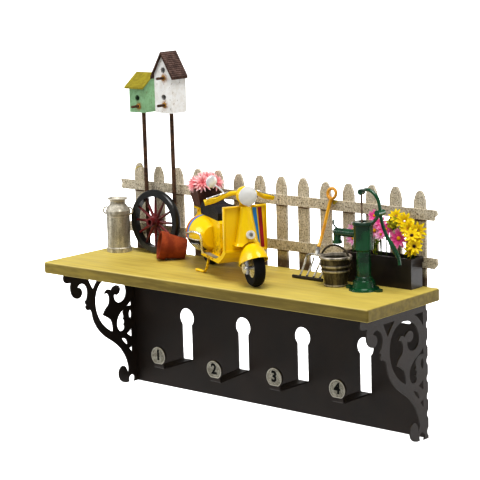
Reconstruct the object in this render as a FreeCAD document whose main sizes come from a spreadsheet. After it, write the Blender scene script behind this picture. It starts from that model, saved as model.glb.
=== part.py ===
import FreeCAD, Part
import math
import os

import Sketcher
from FreeCAD import Placement, Rotation, Vector

# Wall shelf with key hooks. The wall plane is y = 0 and the shelf reaches towards -Y.
# Heights are measured from the line of the two hanging slots in the back plate, z = 0.

SIZES = [
    # board
    ("board_width", 342.0),
    ("board_depth", 91.9),
    ("board_thick", 10.0),
    ("board_edge", 1.5),
    # folded steel frame
    ("sheet_thick", 1.2),
    ("bend_inside", 1.0),
    ("frame_width", 315.0),
    ("plate_drop", 111.4),
    ("slot_drop", 19.4),
    ("flange_depth", 15.0),
    ("nose_inset", 6.0),
    ("hang_slot_offset", 131.0),
    ("hang_slot_length", 24.0),
    ("hang_slot_width", 6.0),
    ("fold_bite_pitch", 14.2),
    ("fold_bite_first", 6.5),
    ("fold_bite_radius", 5.0),
    ("fold_bite_stand_off", 2.6),
    # hooks
    ("hook_pitch", 64.1),
    ("hook_row_shift", 1.6),
    ("hook_width", 10.9),
    ("hook_gap", 0.3),
    ("hook_reach", 38.0),
    ("hook_arm_drop", 83.2),
    ("hook_disc_drop", 73.3),
    ("hook_disc_radius", 8.25),
    ("badge_radius", 7.9),
    ("badge_thick", 0.4),
    ("badge_chord", 6.8),
    # board screws
    ("screw_radius", 1.6),
    ("screw_length", 8.0),
    ("screw_head_radius", 3.4),
    ("screw_head_height", 1.7),
    ("screw_gap", 0.1),
    ("screw_offset_inner", 62.0),
    ("screw_offset_outer", 146.0),
    # fence
    ("picket_width", 10.6),
    ("picket_thick", 2.4),
    ("picket_pitch", 22.82),
    ("picket_first", 144.0),
    ("picket_top", 75.0),
    ("picket_shoulder", 9.5),
    ("picket_tip", 3.6),
    ("rail_thick", 2.2),
    ("rail_left", 163.7),
    ("rail_right", 170.3),
    ("rail_height", 8.2),
    ("rail_top_level", 51.7),
    ("rail_bottom_level", 14.5),
    # poles and bird houses
    ("pole_radius", 1.7),
    ("pole_out", 8.6),
    ("pole_left_x", 129.2),
    ("pole_right_x", 96.8),
    ("roof_thick", 1.1),
    ("house_hole_radius", 2.4),
    ("house_hole_depth", 4.0),
    ("perch_radius", 1.1),
    ("perch_length", 8.0),
    ("green_width", 17.4),
    ("green_depth", 16.0),
    ("green_base", 121.2),
    ("green_eave_rise", 20.4),
    ("green_ridge_rise", 32.1),
    ("green_ridge_back", 12.0),
    ("green_overhang_front", 3.8),
    ("green_overhang_side", 2.1),
    ("white_width", 19.8),
    ("white_depth", 17.4),
    ("white_base", 122.2),
    ("white_wall_rise", 32.6),
    ("white_ridge_rise", 49.3),
    ("white_overhang_front", 2.2),
    ("white_overhang_side", 2.4),
    # milk can
    ("can_x", 150.3),
    ("can_out", 23.7),
    ("can_radius", 10.1),
    ("can_band", 0.7),
    ("can_height", 46.8),
    ("can_top_height", 14.2),
    ("can_lid_height", 4.8),
    ("can_neck_radius", 6.6),
    ("can_rim_radius", 8.8),
    # wagon wheel
    ("wheel_x", 114.7),
    ("wheel_out", 14.1),
    ("wheel_lean", 2.0),
    ("wheel_radius", 27.6),
    ("tyre_width", 6.0),
    ("tyre_depth", 5.8),
    ("hub_radius", 4.6),
    ("hub_length", 13.0),
    ("hub_bore", 2.2),
    ("spoke_radius", 1.15),
    ("spoke_count", 12),
    # clay pot lying on its side
    ("pot_x", 77.1),
    ("pot_out", 18.4),
    ("pot_rim_radius", 12.0),
    ("pot_base_radius", 8.6),
    ("pot_height", 22.5),
    ("pot_rim_height", 6.0),
    ("pot_wall", 1.3),
    ("pot_turn", 50.0),
    # scooter, in its own frame: forward +X from the rear wheel's contact point
    ("scooter_x", -41.4),
    ("scooter_out", 24.9),
    ("scooter_turn", -29.4),
    ("wheelbase", 102.8),
    ("scooter_tyre_radius", 15.2),
    ("scooter_tyre_width", 8.4),
    ("scooter_rim_radius", 8.0),
    ("shield_x", 82.0),
    ("shield_half", 18.0),
    ("shield_thick", 1.6),
    ("shield_bottom", 25.0),
    ("shield_top", 61.0),
    ("nose_radius", 9.4),
    ("nose_top_radius", 4.2),
    ("nose_level", 32.0),
    ("floor_half", 16.5),
    ("floor_thick", 2.0),
    ("floor_back", 22.0),
    ("tunnel_half", 8.0),
    ("tunnel_tail", -21.0),
    ("tunnel_front", 46.0),
    ("seat_level", 43.4),
    ("cowl_length", 26.0),
    ("cowl_height", 15.0),
    ("cowl_bulge", 14.0),
    ("cowl_x", 8.0),
    ("cowl_level", 28.2),
    ("fender_radius", 18.8),
    ("fender_half", 11.0),
    ("fender_thick", 1.0),
    ("headlamp_radius", 7.2),
    ("headlamp_level", 69.4),
    ("bar_level", 65.0),
    ("bar_radius", 1.8),
    ("bar_half", 28.0),
    ("bar_x", 77.0),
    ("basket_level", 47.0),
    ("basket_height", 15.2),
    ("basket_x", -13.0),
    # bucket
    ("bucket_x", 97.7),
    ("bucket_out", 36.9),
    ("bucket_base_radius", 8.6),
    ("bucket_rim_radius", 12.2),
    ("bucket_height", 23.5),
    ("bucket_wall", 1.2),
    ("bail_radius", 0.8),
    # pump
    ("pump_x", 126.0),
    ("pump_out", 38.3),
    ("pump_flange_radius", 12.0),
    ("pump_ear", 16.9),
    ("pump_flange_thick", 1.6),
    ("pump_bell_radius", 8.6),
    ("pump_bell_level", 10.0),
    ("pump_lower_radius", 5.5),
    ("pump_step_level", 30.0),
    ("pump_upper_radius", 7.6),
    ("pump_cap_level", 50.0),
    ("pump_height", 52.8),
    ("pump_bore", 3.4),
    ("pump_rod_radius", 0.7),
    ("pump_rod_top", 74.5),
    # garden fork
    ("fork_top_x", 71.0),
    ("fork_foot_x", 66.0),
    ("fork_foot_out", 32.0),
    ("fork_loop_level", 65.5),
    ("fork_shaft_radius", 1.4),
    ("fork_tine_radius", 0.75),
    ("fork_width", 22.0),
    # planter
    ("planter_left", 93.0),
    ("planter_right", 158.0),
    ("planter_front", 21.2),
    ("planter_depth", 16.2),
    ("planter_height", 23.7),
    ("planter_wall", 1.6),
]

doc = FreeCAD.newDocument("wall_shelf")
sheet = doc.addObject("Spreadsheet::Sheet", "sizes")
for line, (alias, amount) in enumerate(SIZES, 1):
    sheet.set("A%d" % line, alias)
    sheet.set("B%d" % line, str(amount))
    sheet.setAlias("B%d" % line, alias)
doc.recompute()

NODES = {}


def value(text):
    """Works out a sum of sheet names and numbers, such as 'board_width - 2*sheet_thick'."""
    total = 0.0
    sign = 1.0
    for token in text.split():
        if token in ("+", "-"):
            sign = 1.0 if token == "+" else -1.0
            continue
        factor, _, name = token.rpartition("*")
        plain = name.replace(".", "").lstrip("-").isdigit()
        amount = float(name) if plain else float(getattr(sheet, name))
        total += sign * amount * (float(factor) if factor else 1.0)
        sign = 1.0
    return total


def formula(text):
    """The same sum as an expression on the sheet."""
    words = []
    for token in text.split():
        factor, star, name = token.rpartition("*")
        plain = token in ("+", "-") or name.replace(".", "").lstrip("-").isdigit()
        words.append(token if plain else factor + star + "sizes." + name)
    return " ".join(words)


def tie(thing, prop, text):
    """Binds one property to the sheet."""
    thing.setExpression(prop, formula(text))
    return thing


def put(thing, at, turn=None):
    """Places an object at three sums of sheet names."""
    thing.Placement = Placement(Vector(*[value(text) for text in at]), turn or Rotation())
    for axis, text in zip("xyz", at):
        tie(thing, "Placement.Base." + axis, text)
    return thing


def node(label, thing):
    """Names a finished sub-part."""
    thing.Label = label
    NODES[label] = thing
    return thing


def new(kind, name, **sizes):
    """Adds a Part object whose sizes are bound to the sheet."""
    thing = doc.addObject(kind, name)
    for prop, text in sizes.items():
        setattr(thing, prop, value(text))
        tie(thing, prop, text)
    return thing


def block(name, at, size):
    """A box from its lowest corner."""
    thing = new("Part::Box", name, Length=size[0], Width=size[1], Height=size[2])
    return put(thing, at)


def rod(name, at, radius, length, turn=None):
    """A cylinder from the centre of its first end; it points to +Z unless turned."""
    return put(new("Part::Cylinder", name, Radius=radius, Height=length), at, turn)


def fuse(name, shapes, refine=True):
    thing = doc.addObject("Part::MultiFuse", name)
    thing.Shapes = shapes
    thing.Refine = refine
    return thing


def cut(name, base, tools):
    """Takes one or more tools away from a base."""
    tool = tools[0] if len(tools) == 1 else fuse(name + "_tools", tools)
    thing = doc.addObject("Part::Cut", name)
    thing.Base = base
    thing.Tool = tool
    return thing


def group(name, shapes):
    thing = doc.addObject("Part::Compound", name)
    thing.Links = shapes
    return thing


def shape(name, solid):
    """A form that no primitive or sketch fits."""
    thing = doc.addObject("Part::Feature", name)
    thing.Shape = solid
    return thing


def bulged(start, end, bulge):
    """An arc between two points; bulge is the rise over half the chord."""
    middle = (start + end) * 0.5
    chord = end - start
    side = Vector(chord.y, -chord.x, 0)
    return Part.Arc(start, middle + side * (0.5 * bulge), end)


def outline(body, role, corners):
    """A closed sketch on one of the body's planes. A corner is (x, y) or (x, y, bulge) in sheet names."""
    sketch = body.newObject("Sketcher::SketchObject", body.Name + "_outline")
    plane = [f for f in body.Origin.OriginFeatures if f.Role == role][0]
    sketch.AttachmentSupport = [(plane, "")]
    sketch.MapMode = "FlatFace"
    points = [Vector(value(c[0]), value(c[1]), 0) for c in corners]
    ends = []
    for number, corner in enumerate(corners):
        start = points[number]
        end = points[(number + 1) % len(points)]
        edge = Part.LineSegment(start, end)
        first = 1
        if len(corner) == 3:
            edge = bulged(start, end, corner[2])
        sketch.addGeometry(edge, False)
        if len(corner) == 3:
            first = 1 if sketch.getPoint(number, 1).distanceToPoint(start) < 1e-6 else 2
        ends.append((first, 3 - first))
    for number in range(len(corners)):
        after = (number + 1) % len(corners)
        joint = Sketcher.Constraint("Coincident", number, ends[number][1], after, ends[after][0])
        sketch.addConstraint(joint)
    for number, corner in enumerate(corners):
        for kind, text, size in (("DistanceX", corner[0], points[number].x),
                                 ("DistanceY", corner[1], points[number].y)):
            if text == "0":
                line = -2 if kind == "DistanceX" else -1
                sketch.addConstraint(Sketcher.Constraint("PointOnObject", number, ends[number][0], line))
                continue
            rule = sketch.addConstraint(Sketcher.Constraint(kind, number, ends[number][0], size))
            sketch.setExpression("Constraints[%d]" % rule, formula(text))
    return sketch


def padded(name, role, corners, length, at, turn=None, middle=False):
    """A body padded from an outline."""
    body = doc.addObject("PartDesign::Body", name)
    sketch = outline(body, role, corners)
    pad = body.newObject("PartDesign::Pad", name + "_pad")
    pad.Profile = sketch
    pad.Midplane = middle
    pad.Length = value(length)
    tie(pad, "Length", length)
    body.Tip = pad
    return put(body, at, turn)


def turned(name, corners, at, turn=None):
    """A body turned about its own Z from a half section in the XZ plane."""
    body = doc.addObject("PartDesign::Body", name)
    sketch = outline(body, "XZ_Plane", corners)
    spin = body.newObject("PartDesign::Revolution", name + "_spin")
    spin.Profile = sketch
    spin.ReferenceAxis = (sketch, ["V_Axis"])
    spin.Angle = 360
    body.Tip = spin
    return put(body, at, turn)


UP = "board_thick + slot_drop"
UNDER = "slot_drop"
BACK = "- picket_thick"
ALONG_X = Rotation(Vector(0, 1, 0), 90)
TOWARDS_FRONT = Rotation(Vector(1, 0, 0), 90)
HALF_TURN = Rotation(Vector(0, 0, 1), 180)


def make_board():
    """A solid board with eased edges and pilot holes for the frame's screws."""
    half = "0.5*board_width"
    corners = [("- " + half, "- board_depth"), (half, "- board_depth"), (half, "0"), ("- " + half, "0")]
    body = padded("board_body", "XY_Plane", corners, "board_thick", ("0", BACK, UNDER))
    doc.recompute()
    pad = body.Tip
    ease = body.newObject("PartDesign::Fillet", "board_ease")
    ease.Base = (pad, ["Edge%d" % (n + 1) for n in range(len(pad.Shape.Edges))])
    ease.Radius = value("board_edge")
    tie(ease, "Radius", "board_edge")
    body.Tip = ease
    holes = []
    for number, x in enumerate(screw_places()):
        place = (x, SCREW_Y, UNDER)
        holes.append(rod("pilot_%d" % number, place, "screw_radius + screw_gap", "screw_length"))
    node("shelf_board", cut("board_cut", body, holes))


SCREW_Y = "- sheet_thick - 0.5*flange_depth"


def screw_places():
    return ["- screw_offset_outer", "- screw_offset_inner", "screw_offset_inner", "screw_offset_outer"]


def make_board_screws():
    """Four round-head wood screws, up through the flange into the board."""
    screws = []
    for number, x in enumerate(screw_places()):
        half = [
            ("0", "- sheet_thick - screw_head_height"),
            ("0.5*screw_head_radius", "- sheet_thick - screw_head_height", 0.25),
            ("screw_head_radius", "- sheet_thick"),
            ("screw_radius", "- sheet_thick"),
            ("screw_radius", "screw_length - 2*screw_radius"),
            ("0", "screw_length - screw_gap"),
        ]
        screws.append(turned("screw_%d" % number, half, (x, SCREW_Y, UNDER)))
    node("board_screws", group("screw_set", screws))


def curve(points):
    """A smooth edge through a few points: a line for two, an arc for three, a spline for more."""
    if len(points) == 2:
        return Part.LineSegment(points[0], points[1]).toShape()
    if len(points) == 3:
        return Part.Arc(points[0], points[1], points[2]).toShape()
    spline = Part.BSplineCurve()
    spline.interpolate(points)
    return spline.toShape()


def scroll_face(runs):
    """A flat face in the bracket's plane. Each run is a smooth stretch of (forward, drop) points.

    The points are measured on a bracket that reaches 85.9 forward and drops 111.4. They are carried
    to the present reach and drop.
    """
    reach = (value("board_depth") - value("nose_inset")) / 85.9
    tall = value("plate_drop") / 111.4
    edges = []
    for run in runs:
        edges.append(curve([Vector(0, -forward * reach, -drop * tall) for forward, drop in run]))
    return Part.Face(Part.Wire(Part.__sortEdges__(edges)))


def bracket_outline():
    """The outer edge of one bracket, from the top rear corner round the front and back up the fold."""
    nose = 85.9
    drop = 111.4
    bar = 9.7
    return [
        [(0, 0), (nose - 0.5 * bar, 0)],
        [(nose - 0.5 * bar, 0), (nose, 0.5 * bar), (nose - 0.5 * bar, bar)],
        [(nose - 0.5 * bar, bar), (77.2, bar)],
        [(77.2, bar), (78.2, 14.8), (76.6, 21.0), (72.3, 24.6), (67.2, 24.3), (64.8, 20.4), (66.6, 16.6),
         (70.2, 15.6)],
        [(70.2, 15.6), (68.2, 13.4), (65.0, 12.8), (60.8, 14.8), (58.6, 19.0), (58.7, 24.0), (60.2, 28.0)],
        [(60.2, 28.0), (61.9, 29.4), (61.2, 31.2), (59.3, 32.4)],
        [(59.3, 32.4), (61.3, 33.4), (61.0, 35.2), (57.6, 37.0)],
        [(57.6, 37.0), (54.8, 38.6), (53.6, 43.0), (51.2, 50.0), (46.4, 57.4), (38.6, 64.8), (29.0, 71.4),
         (21.0, 78.6), (15.4, 86.6), (12.2, 95.6)],
        [(12.2, 95.6), (11.9, 100.0), (13.6, 103.2)],
        [(13.6, 103.2), (14.6, 98.6), (18.6, 95.0), (23.2, 97.2), (24.3, 102.6), (22.4, 107.4), (18.0, 110.2),
         (11.6, 110.6)],
        [(11.6, 110.6), (8.6, 104.8), (6.4, drop)],
        [(6.4, drop), (0, drop)],
        [(0, drop), (0, 0)],
    ]


def bracket_openings():
    """The cut-outs of one bracket: corner triangles, the big arch round its curl, the bean and the slits."""
    bar = 9.7
    arch = [
        [(49.6, 33.0), (48.2, 24.0), (43.6, 17.0), (36.0, 13.0), (27.0, 12.7), (18.6, 16.2), (13.0, 23.0),
         (11.7, 30.0), (13.6, 34.6), (18.6, 37.2), (23.6, 36.2), (26.6, 32.6), (26.4, 28.6)],
        [(26.4, 28.6), (22.6, 29.8), (19.4, 27.2), (19.6, 23.2), (23.4, 21.2), (27.4, 22.2), (30.2, 25.0)],
        [(30.2, 25.0), (34.4, 23.2), (38.2, 26.6)],
        [(38.2, 26.6), (33.8, 27.6), (32.4, 32.0), (34.4, 37.8)],
        [(34.4, 37.8), (38.0, 40.6), (40.8, 45.0)],
        [(40.8, 45.0), (36.4, 47.4), (31.6, 50.6)],
        [(31.6, 50.6), (29.9, 55.0), (29.6, 61.8)],
        [(29.6, 61.8), (37.0, 57.2), (43.6, 50.4), (48.0, 42.0), (49.6, 33.0)],
    ]
    bean = [
        [(6.0, 37.4), (12.6, 42.6), (19.4, 46.6), (23.4, 51.6), (24.2, 57.6), (21.6, 62.4), (17.6, 63.2)],
        [(17.6, 63.2), (15.2, 61.0), (16.8, 57.6)],
        [(16.8, 57.6), (15.0, 55.8), (17.4, 53.0)],
        [(17.4, 53.0), (15.6, 50.6), (16.6, 47.4), (12.0, 42.8), (8.2, 42.2)],
        [(8.2, 42.2), (6.0, 42.4)],
        [(6.0, 42.4), (6.0, 37.4)],
    ]
    return [
        [[(57.2, bar), (43.0, bar)], [(43.0, bar), (46.6, 13.6), (51.8, 20.2)],
         [(51.8, 20.2), (55.0, 14.4), (57.2, bar)]],
        [[(17.6, bar), (6.0, bar)], [(6.0, bar), (6.0, 20.4)], [(6.0, 20.4), (10.2, 15.0), (17.6, bar)]],
        arch,
        bean,
        [[(7.2, 45.6), (9.4, 49.4), (7.2, 54.2)], [(7.2, 54.2), (6.0, 50.0), (7.2, 45.6)]],
        [[(12.4, 66.8), (6.4, 63.2)], [(6.4, 63.2), (6.4, 71.0)], [(6.4, 71.0), (12.4, 66.8)]],
        [[(19.2, 69.8), (14.2, 71.6), (12.2, 76.8)], [(12.2, 76.8), (15.4, 74.6), (19.2, 69.8)]],
        [[(10.4, 80.4), (6.6, 79.0)], [(6.6, 79.0), (6.6, 85.0)], [(6.6, 85.0), (10.4, 80.4)]],
    ]


def make_bracket(name, x):
    """One scroll bracket, cut from the sheet and folded forward."""
    face = scroll_face(bracket_outline())
    for runs in bracket_openings():
        face = face.cut(scroll_face(runs))
    flat = shape(name + "_face", face)
    plate = doc.addObject("Part::Extrusion", name)
    plate.Base = flat
    plate.DirMode = "Custom"
    plate.Dir = Vector(1, 0, 0)
    plate.Solid = True
    plate.LengthFwd = value("sheet_thick")
    tie(plate, "LengthFwd", "sheet_thick")
    return put(plate, (x, "0", UNDER))


def fold_bites(name, x, side):
    """Scallops along a vertical fold, left by the perforation that the sheet is bent on."""
    bites = []
    drop = value("fold_bite_first")
    while drop < value("plate_drop"):
        ball = new("Part::Sphere", name, Radius="fold_bite_radius")
        out = "%s fold_bite_stand_off" % ("+" if side > 0 else "-")
        put(ball, (x + " " + out, "fold_bite_stand_off", UNDER + " - %.3f" % drop))
        bites.append(ball)
        drop += value("fold_bite_pitch")
    return bites


def hook_x(number):
    """Hooks 0 to 3 stand at equal pitch about the row's centre."""
    return "hook_row_shift " + "%s %.1f*hook_pitch" % ("-" if number < 1.5 else "+", abs(number - 1.5))


HOOK_DIPS = (0.0, 4.0, -0.3, -0.3)
HEEL = "slot_drop - hook_arm_drop - bend_inside - sheet_thick"
DISC_RISE = "hook_arm_drop - hook_disc_drop + bend_inside + sheet_thick"


def hook_turn(number):
    """The hooks are bent by hand: each dips forward by its own few degrees."""
    return Rotation(Vector(1, 0, 0), HOOK_DIPS[number])


def make_hook(number):
    """One lanced tongue: up out of the plate, forward as an arm and up again into a disc."""
    outer = "bend_inside + sheet_thick"
    crook = "hook_reach - bend_inside - sheet_thick"
    bend = math.tan(math.radians(22.5))
    side = [
        ("0", "- sheet_thick"),
        ("0", "0", -bend),
        (outer, outer),
        (crook, outer, bend),
        ("hook_reach - sheet_thick", outer + " + bend_inside"),
        ("hook_reach - sheet_thick", DISC_RISE),
        ("hook_reach", DISC_RISE),
        ("hook_reach", outer + " + bend_inside", -bend),
        (crook, "bend_inside"),
        (outer, "bend_inside", bend),
        ("sheet_thick", "0"),
        ("sheet_thick", "- sheet_thick"),
    ]
    quarter = Rotation(Vector(0, 0, 1), -90)
    name = "hook_%d" % (number + 1)
    tongue = padded(name + "_strip", "XZ_Plane", side, "hook_width", ("0", "0", "0"), quarter, True)
    disc = rod(name + "_disc", ("0", "sheet_thick - hook_reach", DISC_RISE), "hook_disc_radius",
               "sheet_thick", TOWARDS_FRONT)
    hook = fuse(name, [tongue, disc])
    return put(hook, (hook_x(number), "0", HEEL), hook_turn(number))


def keyhole(number):
    """The hole that a hook leaves in the plate."""
    x = hook_x(number)
    width = "hook_width + 2*hook_gap"
    strip = block("key_slot_%d" % number, (x + " - 0.5*hook_width - hook_gap", "- 2*sheet_thick", HEEL),
                  (width, "3*sheet_thick", "hook_reach - 2*hook_gap"))
    ring = rod("key_ring_%d" % number, (x, "sheet_thick", HEEL + " + hook_reach + 0.5*bend_inside"),
               "hook_disc_radius", "3*sheet_thick", TOWARDS_FRONT)
    return [strip, ring]


def hanging_slot(name, x):
    """A round-ended slot for a wall screw."""
    straight = "hang_slot_length - hang_slot_width"
    left = x + " - 0.5*hang_slot_length + 0.5*hang_slot_width"
    right = x + " + 0.5*hang_slot_length - 0.5*hang_slot_width"
    middle = block(name + "_mid", (left, "- 2*sheet_thick", "- 0.5*hang_slot_width"),
                   (straight, "3*sheet_thick", "hang_slot_width"))
    ends = []
    for number, end in enumerate((left, right)):
        ends.append(rod("%s_end_%d" % (name, number), (end, "sheet_thick", "0"), "0.5*hang_slot_width",
                        "3*sheet_thick", TOWARDS_FRONT))
    return [middle] + ends


def make_frame():
    """The folded sheet: back plate, top flange, two scroll brackets and four hooks, all one piece."""
    half = "0.5*frame_width"
    plate = block("plate", ("- " + half, "- sheet_thick", "slot_drop - plate_drop"),
                  ("frame_width", "sheet_thick", "plate_drop"))
    holes = []
    for number in range(4):
        holes += keyhole(number)
    holes += hanging_slot("slot_left", "- hang_slot_offset")
    holes += hanging_slot("slot_right", "hang_slot_offset")
    flange = block("flange", ("- " + half, "- sheet_thick - flange_depth", "slot_drop - sheet_thick"),
                   ("frame_width", "flange_depth", "sheet_thick"))
    screw_holes = []
    for number, x in enumerate(screw_places()):
        screw_holes.append(rod("flange_hole_%d" % number, (x, SCREW_Y, "slot_drop - 2*sheet_thick"),
                               "screw_radius + screw_gap", "3*sheet_thick"))
    left = make_bracket("bracket_left", "- " + half)
    right = make_bracket("bracket_right", half + " - sheet_thick")
    back = cut("plate_cut", plate, holes)
    top = cut("flange_cut", flange, screw_holes)
    blank = fuse("frame_blank", [back, top, left, right])
    bites = fold_bites("bite_left", "- " + half, -1) + fold_bites("bite_right", half, 1)
    trimmed = cut("frame_trimmed", blank, bites)
    folded = fuse("frame_all", [trimmed] + [make_hook(number) for number in range(4)])
    behind = block("behind_wall", ("- frame_width", "0", "- 2*plate_drop"),
                   ("2*frame_width", "10", "4*plate_drop"))
    node("steel_frame", cut("frame_cut", folded, [behind]))


def make_badges():
    """A printed disc with a flat lower edge on the face of each hook."""
    for number in range(4):
        name = "badge_%d" % (number + 1)
        disc = rod(name + "_disc", ("0", "- hook_reach", DISC_RISE), "badge_radius", "badge_thick",
                   TOWARDS_FRONT)
        corner = ("- badge_radius", "- hook_reach - 2*badge_thick", DISC_RISE + " - 2*badge_radius")
        size = ("2*badge_radius", "3*badge_thick", "2*badge_radius - badge_chord")
        chop = block(name + "_chop", corner, size)
        badge = cut(name, disc, [chop])
        put(badge, (hook_x(number), "0", HEEL), hook_turn(number))
        node("number_badge_%d" % (number + 1), badge)


def make_fence():
    """Fourteen pickets on the board's rear edge and two rails nailed across their fronts."""
    half = "0.5*picket_width"
    tip = "0.5*picket_tip"
    for number in range(14):
        top = "board_thick + picket_top - %.1f" % (0.5 * (number * 7 % 4))
        shoulder = top + " - picket_shoulder"
        corners = [
            ("- " + half, "0"),
            (half, "0"),
            (half, shoulder, 0.13),
            (tip, top + " - 0.5", 0.2),
            ("- " + tip, top + " - 0.5", 0.13),
            ("- " + half, shoulder),
        ]
        x = "- picket_first + %d*picket_pitch" % number if number else "- picket_first"
        picket = padded("picket_%d" % (number + 1), "XZ_Plane", corners, "picket_thick", (x, "0", UNDER))
        node("picket_%02d" % (number + 1), picket)
    for name, ragged in (("rail_top", 1.0), ("rail_bottom", -1.0)):
        corners = [
            ("- rail_left", "0.1*rail_height"),
            ("- rail_left + 1.5", "0"),
            ("rail_right - 3.0", "0"),
            ("rail_right - %.1f" % (1.6 + ragged), "0.35*rail_height"),
            ("rail_right", "0.55*rail_height"),
            ("rail_right - 0.8", "rail_height"),
            ("- rail_left - %.1f" % (0.4 * ragged), "rail_height"),
            ("- rail_left + 1.1", "0.6*rail_height"),
        ]
        rail = padded(name + "_body", "XZ_Plane", corners, "rail_thick", ("0", BACK, UP + " + " + name + "_level"))
        node(name, rail)


def make_poles():
    """Two thin poles from the board up to the undersides of the bird houses."""
    for side, x, top in (("left", "pole_left_x", "green_base"), ("right", "pole_right_x", "white_base")):
        node("pole_" + side, rod("pole_rod_" + side, ("- " + x, "- pole_out", UP), "pole_radius", top))


def make_green_house():
    """A small bird house whose long front slope runs up to a ridge near the back."""
    front = "green_ridge_back"
    base = UP + " + green_base"
    pitch = (value("green_ridge_rise") - value("green_eave_rise"))
    pitch /= value("green_ridge_back") + value("green_overhang_front")
    wall_front = value("green_eave_rise") + pitch * value("green_overhang_front")
    wall_back = value("green_ridge_rise") - pitch * (value("green_depth") - value("green_ridge_back"))
    side = [
        ("0", "0"),
        ("green_depth", "0"),
        ("green_depth", "%.3f" % wall_back),
        (front, "green_ridge_rise"),
        ("0", "%.3f" % wall_front),
    ]
    face_y = "- green_depth - 0.4"
    quarter = Rotation(Vector(0, 0, 1), 90)
    walls = padded("green_walls", "XZ_Plane", side, "green_width",
                   ("- pole_left_x", face_y, base), quarter, True)
    place = ("- pole_left_x + 0.6", "- green_depth - 0.4 + house_hole_depth", base + " + 12.4")
    hole = rod("green_hole", place, "house_hole_radius", "2*house_hole_depth", TOWARDS_FRONT)
    node("green_house_body", cut("green_body", walls, [hole]))
    over = "green_overhang_front"
    rear = "%.3f" % (value("green_depth"))
    slab = value("roof_thick") * math.sqrt(1 + pitch * pitch)
    eave = value("green_eave_rise")
    corners = [
        ("- " + over, "green_eave_rise"),
        (front, "green_ridge_rise"),
        (rear, "%.3f" % wall_back),
        (rear, "%.3f" % (wall_back + slab)),
        (front, "green_ridge_rise + %.3f" % slab),
        ("- " + over, "%.3f" % (eave + slab)),
    ]
    roof = padded("green_roof", "XZ_Plane", corners, "green_width + 2*green_overhang_side",
                  ("- pole_left_x", face_y, base), quarter, True)
    node("green_house_roof", roof)


def make_white_house():
    """A tall bird house with two holes and a steep gable roof."""
    base = UP + " + white_base"
    half = "0.5*white_width"
    steep = (value("white_ridge_rise") - value("white_wall_rise")) / value(half)
    face = [
        ("- " + half, "0"),
        (half, "0"),
        (half, "white_wall_rise"),
        ("0", "white_ridge_rise"),
        ("- " + half, "white_wall_rise"),
    ]
    walls = padded("white_walls", "XZ_Plane", face, "white_depth", ("- pole_right_x", "- 0.3", base))
    holes = []
    for number, level in enumerate(("13.4", "36.2")):
        place = ("- pole_right_x + 0.4", "- white_depth - 0.3 + house_hole_depth", base + " + " + level)
        holes.append(rod("white_hole_%d" % number, place, "house_hole_radius", "2*house_hole_depth",
                         TOWARDS_FRONT))
    node("white_house_body", cut("white_body", walls, holes))
    slab = value("roof_thick") * math.sqrt(1 + steep * steep)
    low = value("white_wall_rise") - steep * value("white_overhang_side")
    wide = half + " + white_overhang_side"
    left = "- 0.5*white_width - white_overhang_side"
    corners = [
        (wide, "%.3f" % low),
        ("0", "white_ridge_rise"),
        (left, "%.3f" % low),
        (left, "%.3f" % (low + slab)),
        ("0", "white_ridge_rise + %.3f" % slab),
        (wide, "%.3f" % (low + slab)),
    ]
    roof = padded("white_roof", "XZ_Plane", corners, "white_depth + white_overhang_front",
                  ("- pole_right_x", "- 0.3", base))
    node("white_house_roof", roof)


def make_perches():
    """A peg under each entrance hole, glued flat against the wall."""
    pegs = []
    places = (("- pole_left_x + 1.6", "- green_depth - 0.4", "green_base + 5.4"),
              ("- pole_right_x + 0.8", "- white_depth - 0.3", "white_base + 6.8"),
              ("- pole_right_x + 0.8", "- white_depth - 0.3", "white_base + 29.6"))
    for number, (x, wall, level) in enumerate(places):
        pegs.append(rod("peg_%d" % number, (x, wall, UP + " + " + level), "perch_radius", "perch_length",
                        TOWARDS_FRONT))
    node("house_perches", group("peg_set", pegs))


def make_milk_can():
    """A churn with a foot band, a shoulder band, a flared lid and two ring handles."""
    wide = "can_radius + can_band"
    shoulder = "can_height - can_top_height"
    half = [
        ("0", "0"),
        (wide, "0"),
        (wide, "0.077*can_height"),
        ("can_radius", "0.094*can_height"),
        ("can_radius", shoulder),
        (wide, "can_height - 0.97*can_top_height"),
        (wide, "can_height - 0.75*can_top_height"),
        ("can_neck_radius", "can_height - can_lid_height"),
        ("can_neck_radius", "can_height - 0.46*can_lid_height"),
        ("can_rim_radius", "can_height - 0.17*can_lid_height", 0.2),
        ("0.94*can_rim_radius", "can_height"),
        ("0.82*can_neck_radius", "can_height - 0.54*can_lid_height"),
        ("0", "can_height - 0.62*can_lid_height"),
    ]
    at = ("- can_x", "- can_out", UP)
    churn = turned("churn", half, at)
    rings = []
    for number, turn in enumerate((25.0, 205.0)):
        ring = new("Part::Torus", "can_ring_%d" % number, Radius1="0.3*can_radius", Radius2="can_band")
        reach = value("can_radius") + 0.2
        x = "- can_x + %.3f" % (reach * math.cos(math.radians(turn)))
        y = "- can_out + %.3f" % (reach * math.sin(math.radians(turn)))
        stand = Rotation(Vector(0, 0, 1), turn) * Rotation(Vector(1, 0, 0), 90)
        rings.append(put(ring, (x, y, UP + " + can_height - 0.79*can_top_height"), stand))
    node("milk_can", fuse("milk_can_all", [churn] + rings))


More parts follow.
